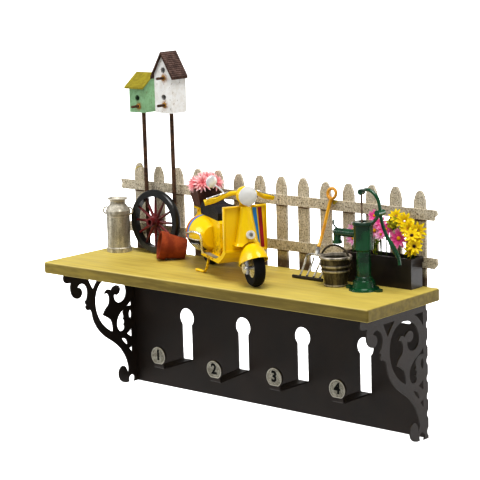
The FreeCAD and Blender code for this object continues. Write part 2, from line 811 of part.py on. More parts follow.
def make_wagon_wheel():
    """A wheel that leans on the poles: a black tyre and twelve spokes on a long hub."""
    stand = Rotation(Vector(1, 0, 0), 90 - value("wheel_lean"))
    at = ("- wheel_x", "- wheel_out", UP + " + wheel_radius + 0.1")
    inner = "wheel_radius - tyre_depth"
    wide = "0.5*tyre_width"
    ring = [
        (inner, "- " + wide),
        ("wheel_radius - 1.35", "- " + wide, 0.45),
        ("wheel_radius - 1.35", wide),
        (inner, wide),
    ]
    node("wheel_tyre", turned("wheel_ring", ring, at, stand))
    hub = [
        ("hub_bore", "- 0.4*hub_length"),
        ("hub_radius", "- 0.4*hub_length"),
        ("hub_radius + 0.6", "0"),
        ("hub_radius", "0.25*hub_length"),
        ("0.85*hub_radius", "0.28*hub_length"),
        ("0.8*hub_radius", "0.6*hub_length"),
        ("hub_bore", "0.6*hub_length"),
    ]
    pieces = [turned("hub", hub, ("0", "0", "0"))]
    for number in range(int(value("spoke_count"))):
        spoke = new("Part::Cone", "spoke_%d" % number, Radius1="1.25*spoke_radius",
                    Radius2="0.8*spoke_radius", Height="wheel_radius - tyre_depth + 0.5 - 0.7*hub_radius")
        angle = 360.0 * number / value("spoke_count")
        turn = Rotation(Vector(0, 0, 1), angle) * ALONG_X
        reach = 0.7 * value("hub_radius")
        along = (reach * math.cos(math.radians(angle)), reach * math.sin(math.radians(angle)))
        spoke.Placement = Placement(Vector(along[0], along[1], 0), turn)
        pieces.append(spoke)
    star = fuse("star", pieces)
    trim = rod("star_trim", ("0", "0", "- hub_length"), inner, "2*hub_length")
    bore = rod("star_bore", ("0", "0", "- hub_length"), "hub_bore", "2*hub_length")
    spokes = cut("spoke_star", both("star_trimmed", [star, trim]), [bore])
    node("wheel_spokes", put(spokes, at, stand))


def both(name, shapes):
    """What all the given shapes share."""
    thing = doc.addObject("Part::MultiCommon", name)
    thing.Shapes = shapes
    return thing


def make_pot():
    """A clay pot on its side, its mouth towards the front left; it rests on its rim and its base edge."""
    taper = value("pot_rim_radius") - value("pot_base_radius")
    tilt = math.atan2(taper, value("pot_height") - value("pot_rim_height"))
    turn = math.radians(value("pot_turn"))
    wall = "pot_rim_radius - 1.2"
    half = [
        ("0", "0"),
        ("pot_base_radius", "0"),
        (wall, "pot_height - pot_rim_height"),
        ("pot_rim_radius", "pot_height - pot_rim_height"),
        ("pot_rim_radius", "pot_height"),
        ("pot_rim_radius - pot_wall", "pot_height"),
        ("pot_rim_radius - pot_wall - 0.8", "pot_height - pot_rim_height"),
        ("pot_base_radius - pot_wall", "1.4*pot_wall"),
        ("0", "1.4*pot_wall"),
    ]
    axis = Vector(-math.cos(turn) * math.cos(tilt), -math.sin(turn) * math.cos(tilt), math.sin(tilt))
    lift = "%.5f*pot_base_radius" % math.cos(tilt)
    place = ("- pot_x", "- pot_out", UP + " + " + lift)
    pot = turned("pot_body", half, place, Rotation(Vector(0, 0, 1), axis))
    node("clay_pot", pot)


def tube(name, points, radius, smooth=True):
    """A round wire along a path."""
    track = [Vector(*point) for point in points]
    if smooth and len(track) > 2:
        spline = Part.BSplineCurve()
        spline.interpolate(track)
        path = Part.Wire([spline.toShape()])
        start = spline.tangent(spline.FirstParameter)[0]
    else:
        path = Part.makePolygon(track)
        start = track[1] - track[0]
    spine = shape(name + "_path", path)
    ring = new("Part::Circle", name + "_ring", Radius=radius)
    ring.Placement = Placement(track[0], Rotation(Vector(0, 0, 1), start))
    sweep = doc.addObject("Part::Sweep", name)
    sweep.Sections = [ring]
    sweep.Spine = (spine, ["Edge%d" % (n + 1) for n in range(len(path.Edges))])
    sweep.Solid = True
    sweep.Frenet = False
    sweep.Transition = "Right corner"
    return sweep


def stick(name, start, end, radius):
    """A straight round stick between two points."""
    track = Vector(*end) - Vector(*start)
    thing = new("Part::Cylinder", name, Radius=radius)
    thing.Height = track.Length
    thing.Placement = Placement(Vector(*start), Rotation(Vector(0, 0, 1), track))
    return thing


def ball(name, at, radius):
    return put(new("Part::Sphere", name, Radius=radius), at)


def oval(name, at, along, across, up):
    """An ellipsoid with its half lengths along X, Y and Z."""
    thing = new("Part::Ellipsoid", name, Radius1=up, Radius2=along, Radius3=across)
    return put(thing, at, HALF_TURN)


def on_scooter(label, thing):
    """Sets a finished scooter piece on its wheels' line on the board."""
    piece = group(label + "_placed", [thing])
    put(piece, ("scooter_x", "- scooter_out", UP), Rotation(Vector(0, 0, 1), value("scooter_turn")))
    node(label, piece)


AXLE = "scooter_tyre_radius"
NOSE_X = "shield_x + shield_thick + 3"
SIDE = Rotation(Vector(1, 0, 0), 90)


def fender_form(name, grow):
    """The rounded form that the front fender is hollowed from."""
    form = oval(name, ("wheelbase", "0", AXLE), "fender_radius + %.2f" % (0.6 + grow),
                "fender_half + %.2f" % grow, "fender_radius + %.2f" % grow)
    return form


def tyre(name, x):
    """A fat tyre with rounded shoulders."""
    wide = "0.5*scooter_tyre_width"
    ring = [
        ("scooter_rim_radius", "- " + wide + " + 1.2"),
        ("scooter_tyre_radius - 3.4", "- " + wide),
        ("scooter_tyre_radius - 1.8", "- " + wide, 0.428),
        ("scooter_tyre_radius - 1.8", wide),
        ("scooter_tyre_radius - 3.4", wide),
        ("scooter_rim_radius", wide + " - 1.2"),
    ]
    return turned(name, ring, (x, "0", AXLE), SIDE)


def make_scooter_body():
    """Seat box, floorboard, leg shield and steering nose, one casting, with arches for both wheels."""
    side = [
        ("tunnel_tail + 6", "14"),
        ("tunnel_front - 4", "14"),
        ("tunnel_front", "20"),
        ("tunnel_front", "seat_level - 2"),
        ("tunnel_front - 3", "seat_level"),
        ("tunnel_tail + 12", "seat_level"),
        ("tunnel_tail + 2", "seat_level - 6", 0.2),
        ("tunnel_tail", "22"),
    ]
    box = padded("seat_box", "XZ_Plane", side, "2*tunnel_half", ("0", "0", "0"), None, True)
    floor = block("floor", ("floor_back", "- floor_half", "13"),
                  ("shield_x - floor_back - 22", "2*floor_half", "floor_thick"))
    toe = [
        ("shield_x - 26", "13"),
        ("shield_x - 26", "13 + floor_thick"),
        ("shield_x - 10", "shield_bottom - 4"),
        ("shield_x", "shield_bottom + 5"),
        ("shield_x + shield_thick", "shield_bottom + 5"),
        ("shield_x + shield_thick", "shield_bottom"),
        ("shield_x - 6", "shield_bottom - 6"),
        ("shield_x - 18", "13"),
    ]
    ramp = padded("toe_board", "XZ_Plane", toe, "2*floor_half", ("0", "0", "0"), None, True)
    shield = block("shield", ("shield_x", "- shield_half", "shield_bottom"),
                   ("shield_thick + 0.9", "2*shield_half", "shield_top - shield_bottom"))
    panel = block("shield_panel", ("shield_x + shield_thick", "1.8 - shield_half", "shield_bottom + 1.8"),
                  ("2", "2*shield_half - 3.6", "shield_top - shield_bottom - 3.6"))
    nose = new("Part::Cone", "nose_cone", Radius1="nose_radius", Radius2="nose_top_radius",
               Height="shield_top - nose_level")
    put(nose, (NOSE_X, "0", "nose_level"), HALF_TURN)
    lip = new("Part::Cone", "nose_lip", Radius1="nose_radius + 1.2", Radius2="nose_radius - 0.2", Height="2.4")
    put(lip, (NOSE_X, "0", "nose_level - 1.4"), HALF_TURN)
    rear_half = block("nose_rear", ("shield_x - 20", "-20", "20"), ("20", "40", "60"))
    front = cut("shield_cut", shield, [panel])
    nose_all = cut("nose", fuse("nose_blank", [nose, lip]), [rear_half])
    solid = fuse("scooter_blank", [box, floor, ramp, front, nose_all])
    arches = [rod("rear_arch", ("0", "5", AXLE), "scooter_tyre_radius + 0.8", "10", TOWARDS_FRONT),
              fender_form("front_arch", 1.4)]
    hub = rod("rear_hub", ("0", "3", AXLE), "scooter_rim_radius", "6", TOWARDS_FRONT)
    axle = rod("rear_axle", ("0", "tunnel_half", AXLE), "2", "2*tunnel_half", TOWARDS_FRONT)
    neck = rod("neck", ("shield_x + 8", "0", "24"), "2.6", "12")
    stub = cut("neck_stub", neck, [fender_form("neck_trim", 0)])
    joined = fuse("scooter_joined", [cut("scooter_arched", solid, arches), hub, axle, stub])
    on_scooter("scooter_body", joined)


def make_scooter_cowls():
    """A half egg on each side of the seat box, cut straight at the front."""
    for label, side in (("scooter_cowl_left", 1), ("scooter_cowl_right", -1)):
        middle = "%d*tunnel_half %s 0.4" % (side, "-" if side > 0 else "+")
        egg = oval(label + "_egg", ("cowl_x", middle, "cowl_level"), "cowl_length", "cowl_bulge + 0.8",
                   "cowl_height")
        face = "-40 + tunnel_half" if side > 0 else "- tunnel_half"
        inner = block(label + "_inner", ("-60", face, "-20"), ("120", "40", "100"))
        front = block(label + "_front", ("cowl_x + 21", "-40", "-20"), ("40", "80", "100"))
        on_scooter(label, cut(label + "_half", egg, [inner, front]))


def make_scooter_wheels():
    on_scooter("scooter_rear_tyre", tyre("rear_tyre", "0"))
    on_scooter("scooter_front_tyre", tyre("front_tyre", "wheelbase"))


def make_scooter_fender():
    """A thin hood over the front wheel, lower at the back than at the front."""
    low = block("fender_low", ("-40", "-40", "-60"), ("80", "80", "60"))
    skirt = group("fender_skirt", [low])
    put(skirt, ("wheelbase", "0", AXLE + " + 4.4"), Rotation(Vector(0, 1, 0), -22))
    shell = cut("fender_shell", fender_form("fender_outer", 0), [fender_form("fender_inner", -1.0), skirt])
    on_scooter("scooter_front_fender", shell)


def make_scooter_fork():
    """The fork leg on one side with its wheel disc and damper, under the fender."""
    disc = rod("fork_disc", ("wheelbase", "2.6", AXLE), "scooter_rim_radius", "5.2", TOWARDS_FRONT)
    pin = rod("fork_pin", ("wheelbase", "5", AXLE), "1.7", "14.4", TOWARDS_FRONT)
    leg = stick("fork_leg", (102.8, -7.4, 15.2), (98.6, -6.4, 36.0), "1.7")
    damper = rod("fork_damper", ("wheelbase + 3.4", "-7.0", "11"), "1.4", "12.6", Rotation(Vector(0, 1, 0), -8))
    link = rod("fork_link", ("wheelbase + 4.0", "-7.0", "13"), "1.5", "8", Rotation(Vector(0, 1, 0), -90))
    cover = rod("fork_cover", ("wheelbase", "-6.2", AXLE), "4.2", "2.8", TOWARDS_FRONT)
    top = both("fork_leg_top", [leg, fender_form("fork_room", -1.0)])
    on_scooter("scooter_fork", fuse("fork_all", [disc, pin, top, damper, link, cover], False))


def make_scooter_bar():
    """Handlebar with swept grips on a short column, and the housing behind the headlamp."""
    column = rod("bar_column", ("shield_x - 1", "0", "shield_top - 9"), "3.2", "bar_level - shield_top + 11")
    housing = oval("bar_housing", ("shield_x + 1.5", "0", "headlamp_level"), "7.4", "6.6", "6.8")
    arms = []
    for side in (-1, 1):
        track = [(81.5, 3 * side, 70.6), (77.5, 12 * side, 69.6), (73.5, 19 * side, 65.8),
                 (71.0, 28 * side, 63.6)]
        arm = tube("bar_arm_%d" % (side + 1), track, "bar_radius")
        grip = new("Part::Cone", "bar_grip_%d" % (side + 1), Radius1="bar_radius",
                   Radius2="1.4*bar_radius", Height="10")
        put(grip, ("bar_x - 3.9", "%.1f" % (19.2 * side), "65.9"),
            Rotation(Vector(0, 0, 1), Vector(-2.4, 8.8 * side, -2.2)))
        arms += [arm, grip]
    room = block("bar_room", ("shield_x", "-8", "40"), ("20", "16", "shield_top - 40"))
    lamp = rod("lamp_room", ("shield_x + 6.4", "0.6", "headlamp_level"), "headlamp_radius + 1", "8", ALONG_X)
    bar = fuse("bar_all", [cut("bar_stem", column, [room]), cut("bar_head", housing, [lamp])] + arms)
    on_scooter("scooter_handlebar", bar)
    return bar


def make_scooter_lamp():
    """A shallow round lamp with a domed glass."""
    half = [
        ("0", "0"),
        ("headlamp_radius - 1", "0"),
        ("headlamp_radius", "1.2"),
        ("headlamp_radius", "2.6"),
        ("headlamp_radius - 0.8", "3.0", 0.12),
        ("0.8", "4.2"),
        ("0", "4.2"),
    ]
    lamp = turned("lamp", half, ("shield_x + 6.4", "0.6", "headlamp_level"), ALONG_X)
    on_scooter("scooter_headlamp", lamp)


def make_scooter_horn():
    """A small round horn that stands square on the sloping nose."""
    slope = math.atan2(value("nose_radius - nose_top_radius"), value("shield_top - nose_level"))
    rise = 7.6
    reach = value("nose_radius") - math.tan(slope) * rise + 0.2
    lean = Rotation(Vector(0, 0, 1), Vector(math.cos(slope), 0, math.sin(slope)))
    at = (NOSE_X + " + %.3f" % reach, "0", "nose_level + %.1f" % rise)
    mouth_at = (NOSE_X + " + %.3f" % (reach + 1.3), "0", "nose_level + %.2f" % (rise + 1.3 * math.tan(slope)))
    horn = rod("horn_blank", at, "3.4", "2.4", lean)
    on_scooter("scooter_horn", cut("horn", horn, [rod("horn_mouth", mouth_at, "1.7", "3", lean)]))


def make_scooter_mirror(bar):
    """A round mirror on a thin bent stalk."""
    stalk = tube("mirror_stalk", [(77.0, -13.2, 69.0), (75.0, -16.0, 73.6), (71.5, -23.0, 78.6)], "0.7")
    facing = Rotation(Vector(0, 0, 1), Vector(-1, -0.25, 0.1))
    head = rod("mirror_head", ("72", "-23", "80.5"), "3.6", "1.4", facing)
    on_scooter("scooter_mirror", cut("mirror", fuse("mirror_blank", [stalk, head]), [bar]))


def make_scooter_seat():
    """A padded saddle, higher at the back."""
    side = [
        ("1", "seat_level"),
        ("43", "seat_level"),
        ("44", "seat_level + 6", 0.35),
        ("32", "seat_level + 10.6", -0.06),
        ("8", "seat_level + 11", 0.3),
        ("0", "seat_level + 5"),
    ]
    seat = padded("seat", "XZ_Plane", side, "2*tunnel_half + 1", ("0", "0", "0"), None, True)
    on_scooter("scooter_seat", seat)


def make_scooter_stand():
    """The side stand, a bent wire from the floorboard to the board."""
    track = [(37.0, -15.0, 13.4), (36.0, -15.8, 8.0), (33.0, -17.2, 1.8), (27.0, -19.2, 1.3),
             (22.0, -21.0, 1.3)]
    bent = tube("stand_wire", track, "1.1")
    room = block("stand_room", ("floor_back", "- floor_half", "13"), ("60", "2*floor_half", "6"))
    on_scooter("scooter_stand", cut("stand", bent, [room]))


def make_scooter_guard():
    """A bright bar round the right cowl; its ends sit on the cowl and on the floorboard."""
    track = [(4.0, -22.6, 29.0), (14.0, -23.8, 31.0), (25.0, -21.6, 32.6), (30.0, -19.6, 31.0),
             (29.0, -18.2, 24.0), (26.6, -16.0, 14.4)]
    bar = tube("guard_wire", track, "0.95")
    egg = oval("guard_egg", ("cowl_x", "- tunnel_half + 0.4", "cowl_level"), "cowl_length",
               "cowl_bulge + 0.8", "cowl_height")
    floor = block("guard_floor", ("floor_back", "-20", "10"), ("20", "20", "3 + floor_thick"))
    on_scooter("scooter_guard_bar", cut("guard", bar, [egg, floor]))


def make_scooter_rack():
    """Struts and a small plate that carry the basket behind the seat."""
    plate = block("rack_plate", ("basket_x - 7", "-8", "basket_level - 1.2"), ("14", "16", "1.2"))
    struts = [plate]
    for number, (x, y) in enumerate(((-13.5, -6), (-13.5, 6), (-7.0, -6), (-7.0, 6))):
        struts.append(rod("strut_%d" % number, ("%.1f" % x, "%.1f" % y, "28"), "1.1", "basket_level - 28.6"))
    box = [
        ("tunnel_tail + 6", "14"),
        ("tunnel_front", "14"),
        ("tunnel_front", "seat_level"),
        ("tunnel_tail + 12", "seat_level"),
        ("tunnel_tail + 2", "seat_level - 6", 0.2),
        ("tunnel_tail", "22"),
    ]
    room = padded("rack_room", "XZ_Plane", box, "2*tunnel_half", ("0", "0", "0"), None, True)
    on_scooter("scooter_rack", cut("rack", fuse("rack_blank", struts), [room]))


def frustum(name, at, low, high, height):
    """A tapered box: half lengths below, half lengths above, and its height."""
    thing = doc.addObject("Part::Wedge", name)
    sizes = {"Xmin": "- " + low[0], "Xmax": low[0], "Zmin": "- " + low[1], "Zmax": low[1],
             "X2min": "- " + high[0], "X2max": high[0], "Z2min": "- " + high[1], "Z2max": high[1],
             "Ymin": "0", "Ymax": height}
    for prop, text in sizes.items():
        setattr(thing, prop, value(text))
    tie(thing, "Ymax", height)
    return put(thing, at, Rotation(Vector(1, 0, 0), 90))


def basket_form(name, level, low, high, height, corner):
    """A tapered box whose two rear corners are cut off."""
    box = frustum(name + "_box", ("basket_x", "0", level), low, high, height)
    trims = []
    for side in (-1, 1):
        turn = Rotation(Vector(0, 0, 1), 45 * side)
        trim = block(name + "_trim_%d" % (side + 1), ("0", "0", "0"), ("30", "30", "80"))
        at = Vector(-corner, 0, 0) + turn.multVec(Vector(-30, -15, 0))
        put(trim, ("basket_x + %.3f" % at.x, "%.3f" % at.y, "30"), turn)
        trims.append(trim)
    return cut(name, box, trims)


def make_scooter_basket():
    """A tapered basket and the flowers that fill it."""
    outer = basket_form("basket_outer", "basket_level", ("8.4", "6.8"), ("13", "10.4"), "basket_height", 19.6)
    inner = ("basket_level + 1.2", ("7.4", "5.8"), ("11.9", "9.3"), "basket_height - 1.2", 18.0)
    on_scooter("scooter_basket", cut("basket", outer, [basket_form("basket_hollow", *inner)]))
    soil = basket_form("basket_soil", *inner)
    dome = oval("basket_dome", ("basket_x", "0", "basket_level + basket_height - 1"), "14", "12", "10.4")
    under = block("basket_under", ("-60", "-40", "20"), ("90", "80", "basket_level + basket_height - 19.9"))
    top = cut("basket_bloom", dome, [under])
    plug = oval("basket_plug", ("basket_x", "0", "basket_level + basket_height - 1"), "9.6", "8.2", "8")
    on_scooter("scooter_flowers", fuse("basket_flowers", [soil, top, plug]))


def make_bucket():
    """A coopered pail with two hoops, rim ears and a standing bail."""
    rise = (value("bucket_rim_radius") - value("bucket_base_radius")) / value("bucket_height")
    half = [("0", "0"), ("bucket_base_radius + 0.7", "0"), ("bucket_base_radius + 0.7", "1.6")]
    half.append(("bucket_base_radius + %.3f" % (1.8 * rise), "1.8"))
    for low, high in ((11.2, 13.0), (15.1, 16.9)):
        half.append(("bucket_base_radius + %.3f" % (low * rise), "%.1f" % low))
        half.append(("bucket_base_radius + %.3f" % (low * rise + 0.7), "%.1f" % low, 0.2))
        half.append(("bucket_base_radius + %.3f" % (high * rise + 0.7), "%.1f" % high))
        half.append(("bucket_base_radius + %.3f" % (high * rise), "%.1f" % high))
    half += [
        ("bucket_rim_radius - 0.4", "bucket_height - 2.4"),
        ("bucket_rim_radius + 0.6", "bucket_height - 1.8", 0.4),
        ("bucket_rim_radius + 0.4", "bucket_height"),
        ("bucket_rim_radius - bucket_wall", "bucket_height"),
        ("bucket_base_radius - 0.4*bucket_wall", "1.6"),
        ("0", "1.6"),
    ]
    at = ("bucket_x", "- bucket_out", UP)
    pail = turned("pail", half, ("0", "0", "0"))
    ears = []
    for side in (-1, 1):
        ears.append(rod("bucket_ear_%d" % (side + 1), ("%d*bucket_rim_radius" % side + (" - 0.2" if side > 0 else " - 2.6"),
                                                       "0", "bucket_height - 1.4"), "1.7", "2.8", ALONG_X))
    both_ears = fuse("pail_all", [pail] + ears)
    node("bucket", put(group("bucket_placed", [both_ears]), at))
    half_span = value("bucket_rim_radius") + 1.6
    rise = 9.4
    radius = (half_span * half_span + rise * rise) / (2 * rise)
    span = math.degrees(math.asin(half_span / radius))
    bail = new("Part::Torus", "bail_ring", Radius2="bail_radius")
    bail.Radius1 = radius
    bail.Angle3 = 2 * span
    turn = Rotation(Vector(1, 0, 0), 90) * Rotation(Vector(0, 0, 1), 90 - span)
    put(bail, ("0", "0", "bucket_height - 1.4 + %.3f" % (rise - radius)), turn)
    node("bucket_bail", put(group("bail_placed", [cut("bail", bail, [both_ears])]), at))


def make_pump():
    """A cast hand pump: flanged foot, stepped barrel, spout, curved handle and plunger rod."""
    half = [
        ("0", "0"),
        ("pump_flange_radius", "0"),
        ("pump_flange_radius - 0.4", "pump_flange_thick"),
        ("pump_bell_radius + 0.6", "pump_flange_thick + 0.8"),
        ("pump_bell_radius - 0.4", "pump_bell_level - 2.6"),
        ("pump_bell_radius - 1.6", "pump_bell_level - 2"),
        ("pump_bell_radius - 2.0", "pump_bell_level"),
        ("pump_lower_radius", "pump_bell_level + 0.8"),
        ("pump_lower_radius", "pump_step_level"),
        ("pump_upper_radius", "pump_step_level + 1.6"),
        ("pump_upper_radius", "pump_cap_level"),
        ("pump_upper_radius + 0.8", "pump_cap_level + 0.6"),
        ("pump_upper_radius + 0.8", "pump_height - 0.6"),
        ("pump_upper_radius", "pump_height"),
        ("pump_bore", "pump_height"),
        ("pump_bore", "pump_height - 8"),
        ("0", "pump_height - 8"),
    ]
    barrel = turned("barrel", half, ("0", "0", "0"))
    parts = [barrel]
    for side in (-1, 1):
        lug = rod("pump_lug_%d" % (side + 1), ("%.1f" % (side * 13.9), "0", "0"), "3", "pump_flange_thick")
        bridge = block("pump_bridge_%d" % (side + 1), ("-14" if side < 0 else "8", "-3", "0"), ("6", "6", "pump_flange_thick"))
        parts += [lug, bridge]
    spout = rod("spout", ("-5", "0", "42.6"), "3.1", "20.4", Rotation(Vector(0, 1, 0), -90))
    elbow = ball("spout_elbow", ("-25.4", "0", "42.6"), "3.1")
    nozzle = rod("spout_nozzle", ("-25.0", "0", "34.4"), "2.9", "8.2")
    flare = rod("spout_flare", ("-25.0", "0", "33.6"), "3.7", "2.2")
    hook = tube("spout_hook", [(-23.0, 0, 45.0), (-26.6, 0, 46.2), (-28.4, 0, 48.4), (-28.2, 0, 51.4)], "0.65")
    arm = tube("fulcrum_arm", [(6.0, 0, 51.4), (10.4, 0, 53.8), (13.6, 0, 57.6), (15.6, 0, 60.4)], "1.3")
    boss = rod("fulcrum_boss", ("16.1", "1.2", "60.7"), "2.3", "2.4", TOWARDS_FRONT)
    parts += [spout, elbow, nozzle, flare, hook, arm, boss]
    holes = []
    for side in (-1, 1):
        holes.append(rod("pump_screw_%d" % (side + 1), ("%.1f" % (side * 14.4), "0", "-1"), "0.9", "5"))
    holes.append(rod("spout_bore", ("-25.0", "0", "33"), "2.1", "6"))
    body = cut("pump_cast", fuse("pump_blank", parts), holes)
    at = ("pump_x", "- pump_out", UP)
    node("pump_body", put(group("pump_placed", [body]), at))
    lever = tube("lever", [(-1.1, 0, 75.6), (8.0, 0, 76.7), (14.4, 0, 70.4), (16.4, 0, 60.7), (21.3, 0, 45.1),
                           (28.0, 0, 35.4), (32.5, 0, 28.0), (33.5, 0, 22.7)], "1.35")
    grip = tube("lever_grip", [(25.0, 0, 39.4), (28.0, 0, 35.4), (32.5, 0, 28.0)], "1.75")
    eye = rod("lever_eye", ("-1.1", "2", "75.4"), "2.2", "4", TOWARDS_FRONT)
    cheeks = []
    for number, y in enumerate(("4.2", "-1.2")):
        cheeks.append(rod("lever_cheek_%d" % number, ("16.1", y, "60.7"), "2.3", "3", TOWARDS_FRONT))
    blank = fuse("lever_blank", [lever, grip, eye] + cheeks)
    gap = rod("lever_gap", ("16.1", "1.2", "60.7"), "2.3", "2.4", TOWARDS_FRONT)
    post = tube("lever_post", [(6.0, 0, 51.4), (10.4, 0, 53.8), (13.6, 0, 57.6), (15.6, 0, 60.4)], "1.4")
    handle = cut("lever_cut", blank, [gap, post])
    node("pump_handle", put(group("lever_placed", [handle]), at))
    plunger = rod("plunger", ("-1.1", "0", "pump_height - 8"), "pump_rod_radius", "75.4 - 2.2 - pump_height + 8")
    node("pump_rod", put(group("plunger_placed", [plunger]), at))


def make_garden_fork():
    """A toy fork with a looped yellow handle, four tines and a bar under their tips."""
    top = [(70.9, -6.6, 61.0), (69.5, -7.4, 56.0), (67.9, -9.6, 46.0), (67.4, -14.2, 34.0), (69.2, -22.0, 24.6)]
    shaft = tube("fork_shaft", top, "fork_shaft_radius")
    loop = new("Part::Torus", "fork_loop", Radius1="4.0", Radius2="1.3")
    put(loop, ("70.8", "-5.4", "65.4"), Rotation(Vector(1, 0, 0), 90 - 12))
    handle = fuse("fork_handle_all", [shaft, loop])
    node("fork_handle", put(group("fork_handle_placed", [handle]), ("0", "0", UP)))
    ferrule = tube("fork_ferrule", [(69.2, -22.0, 24.6), (69.9, -24.8, 18.8)], "1.9")
    bar = tube("fork_bar", [(59.6, -25.2, 15.4), (61.4, -25.4, 18.2), (66.0, -25.0, 19.0), (70.0, -24.8, 19.2),
                            (76.0, -24.8, 18.8), (80.8, -25.2, 18.0), (82.4, -25.4, 15.2)], "1.0")
    parts = [ferrule, bar]
    for number, (x, foot) in enumerate(((59.8, 57.6), (67.4, 64.2), (74.8, 70.8), (82.2, 77.2))):
        parts.append(tube("fork_tine_%d" % number, [(x, -25.3, 17.0), ((x + foot) / 2, -28.6, 8.4), (foot, -32.2, 1.3)],
                          "fork_tine_radius"))
    foot_bar = tube("fork_rest", [(50.6, -31.6, 1.3), (60.0, -32.4, 1.3), (81.0, -32.4, 1.3)], "1.3")
    parts.append(foot_bar)
    room = tube("fork_room_handle", top, "fork_shaft_radius")
    head = cut("fork_head_cut", fuse("fork_head_all", parts), [room])
    node("fork_head", put(group("fork_head_placed", [head]), ("0", "0", UP)))


def make_planter():
    """A deep trough with a lip, and the soil, stems and blossoms in it."""
    wide = "planter_right - planter_left"
    at = ("planter_left", "- planter_front", UP)
    box = block("trough", ("0.8", "0.8", "0"), (wide + " - 1.6", "planter_depth - 1.6", "planter_height"))
    lip = block("trough_lip", ("0", "0", "planter_height - 4"), (wide, "planter_depth", "4"))
    hollow = block("trough_hollow", ("0.8 + planter_wall", "0.8 + planter_wall", "planter_wall"),
                   (wide + " - 1.6 - 2*planter_wall", "planter_depth - 1.6 - 2*planter_wall", "planter_height"))
    node("planter_box", put(cut("trough_cut", fuse("trough_all", [box, lip]), [hollow]), at))
    soil = block("soil", ("planter_left + 0.8 + planter_wall", "0.8 + planter_wall - planter_front", "planter_wall"),
                 (wide + " - 1.6 - 2*planter_wall", "planter_depth - 1.6 - 2*planter_wall",
                  "planter_height - planter_wall - 6"))
    green = soil
    blooms = [(118.6, 42.1, 7.4, -13.0), (130.0, 43.6, 7.0, -12.0), (142.3, 39.4, 8.2, -15.5), (152.4, 41.8, 7.4, -12.5),
              (154.7, 34.2, 7.4, -15.0), (145.8, 50.4, 7.2, -12.0), (136.3, 53.0, 6.5, -11.3), (117.0, 51.0, 6.0, -11.0),
              (125.5, 49.4, 6.4, -11.5), (97.2, 40.4, 6.0, -12.0), (96.4, 32.6, 5.0, -13.0), (158.0, 46.6, 5.6, -12.5)]
    for number, (x, level, radius, y) in enumerate(blooms):
        foot = min(max(x, 99.0), 152.0)
        stem = stick("stem_%d" % number, (foot, -13.0, 15.0), (x, y, level - 0.5), "0.9")
        bloom = oval("bloom_%d" % number, ("%.1f" % x, "%.1f" % y, "%.1f" % level), "%.2f" % radius,
                     "%.2f" % min(0.6 * radius, -4.9 - y), "%.2f" % (0.92 * radius))
        shoot = fuse("shoot_%d" % number, [green, stem], False)
        green = fuse("growth_%d" % number, [shoot, bloom], False)
    node("planter_flowers", put(group("planter_green", [green]), ("0", "0", UP)))


def build_all():
    make_board()
    make_board_screws()
    make_frame()
    make_badges()
    make_fence()
    make_poles()
    make_green_house()
    make_white_house()
    make_perches()
    make_milk_can()
    make_wagon_wheel()
    make_pot()
    make_scooter_body()
    make_scooter_cowls()
    make_scooter_wheels()
    make_scooter_fender()
    make_scooter_fork()
    bar = make_scooter_bar()
    make_scooter_lamp()
    make_scooter_horn()
    make_scooter_mirror(bar)
    make_scooter_seat()
    make_scooter_stand()
    make_scooter_guard()
    make_scooter_rack()
    make_scooter_basket()
    make_bucket()
    make_pump()
    make_garden_fork()
    make_planter()
    doc.recompute()


def check_all():
    """Stops if any object failed or any node is empty or broken."""
    bad = []
    for thing in doc.Objects:
        if "Invalid" in thing.State or "Error" in thing.State:
            bad.append("%s: %s" % (thing.Name, thing.getStatusString()))
    for label, thing in NODES.items():
        solids = 0 if thing.Shape.isNull() else len(thing.Shape.Solids)
        if not solids or not thing.Shape.isValid():
            bad.append("%s has no valid solid" % label)
            continue
        box = thing.Shape.BoundBox
        print("%-22s solids %d volume %9.1f x %7.1f %7.1f y %6.1f %6.1f z %6.1f %6.1f" % (
            label, solids, thing.Shape.Volume, box.XMin, box.XMax, box.YMin, box.YMax, box.ZMin, box.ZMax))
    if bad:
        raise RuntimeError("; ".join(bad))


build_all()
check_all()
os.makedirs("parts", exist_ok=True)
for label, thing in NODES.items():
    thing.Shape.exportStep("parts/%s.step" % label)
print("nodes written:", len(NODES))
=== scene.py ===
# %% [markdown]
# A wall shelf with key hooks. A folded steel sheet carries a stained board, and a toy garden stands on
# the board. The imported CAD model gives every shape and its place. This file dresses it: paint, wood,
# rust, petals and trim.

# %% Load the frame
import bpy
import bmesh
import math
import random
from mathutils import Matrix, Vector


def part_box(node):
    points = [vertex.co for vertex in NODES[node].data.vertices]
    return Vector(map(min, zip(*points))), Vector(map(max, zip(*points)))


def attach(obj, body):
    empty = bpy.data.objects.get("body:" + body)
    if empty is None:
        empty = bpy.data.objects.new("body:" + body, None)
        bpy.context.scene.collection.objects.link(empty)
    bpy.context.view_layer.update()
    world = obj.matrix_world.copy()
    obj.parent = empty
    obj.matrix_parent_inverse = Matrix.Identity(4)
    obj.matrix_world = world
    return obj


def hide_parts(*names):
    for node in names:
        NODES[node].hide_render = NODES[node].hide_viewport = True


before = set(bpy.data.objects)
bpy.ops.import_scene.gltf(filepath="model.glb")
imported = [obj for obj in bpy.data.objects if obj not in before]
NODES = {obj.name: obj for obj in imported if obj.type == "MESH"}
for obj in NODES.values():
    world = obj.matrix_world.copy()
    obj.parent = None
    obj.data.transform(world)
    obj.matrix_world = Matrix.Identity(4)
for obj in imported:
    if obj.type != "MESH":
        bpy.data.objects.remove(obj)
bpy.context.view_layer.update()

MM = 0.001

# %% [markdown]
# The camera stands in front and to the right of the shelf, a little above the board. Its lens is long,
# because the picket rows hardly converge. It could be aimed by eye in the viewport. Here its angles are
# numbers from a fit to the board's corners, so that every render falls into the same frame. The target is
# in millimetres, the rest in metres.

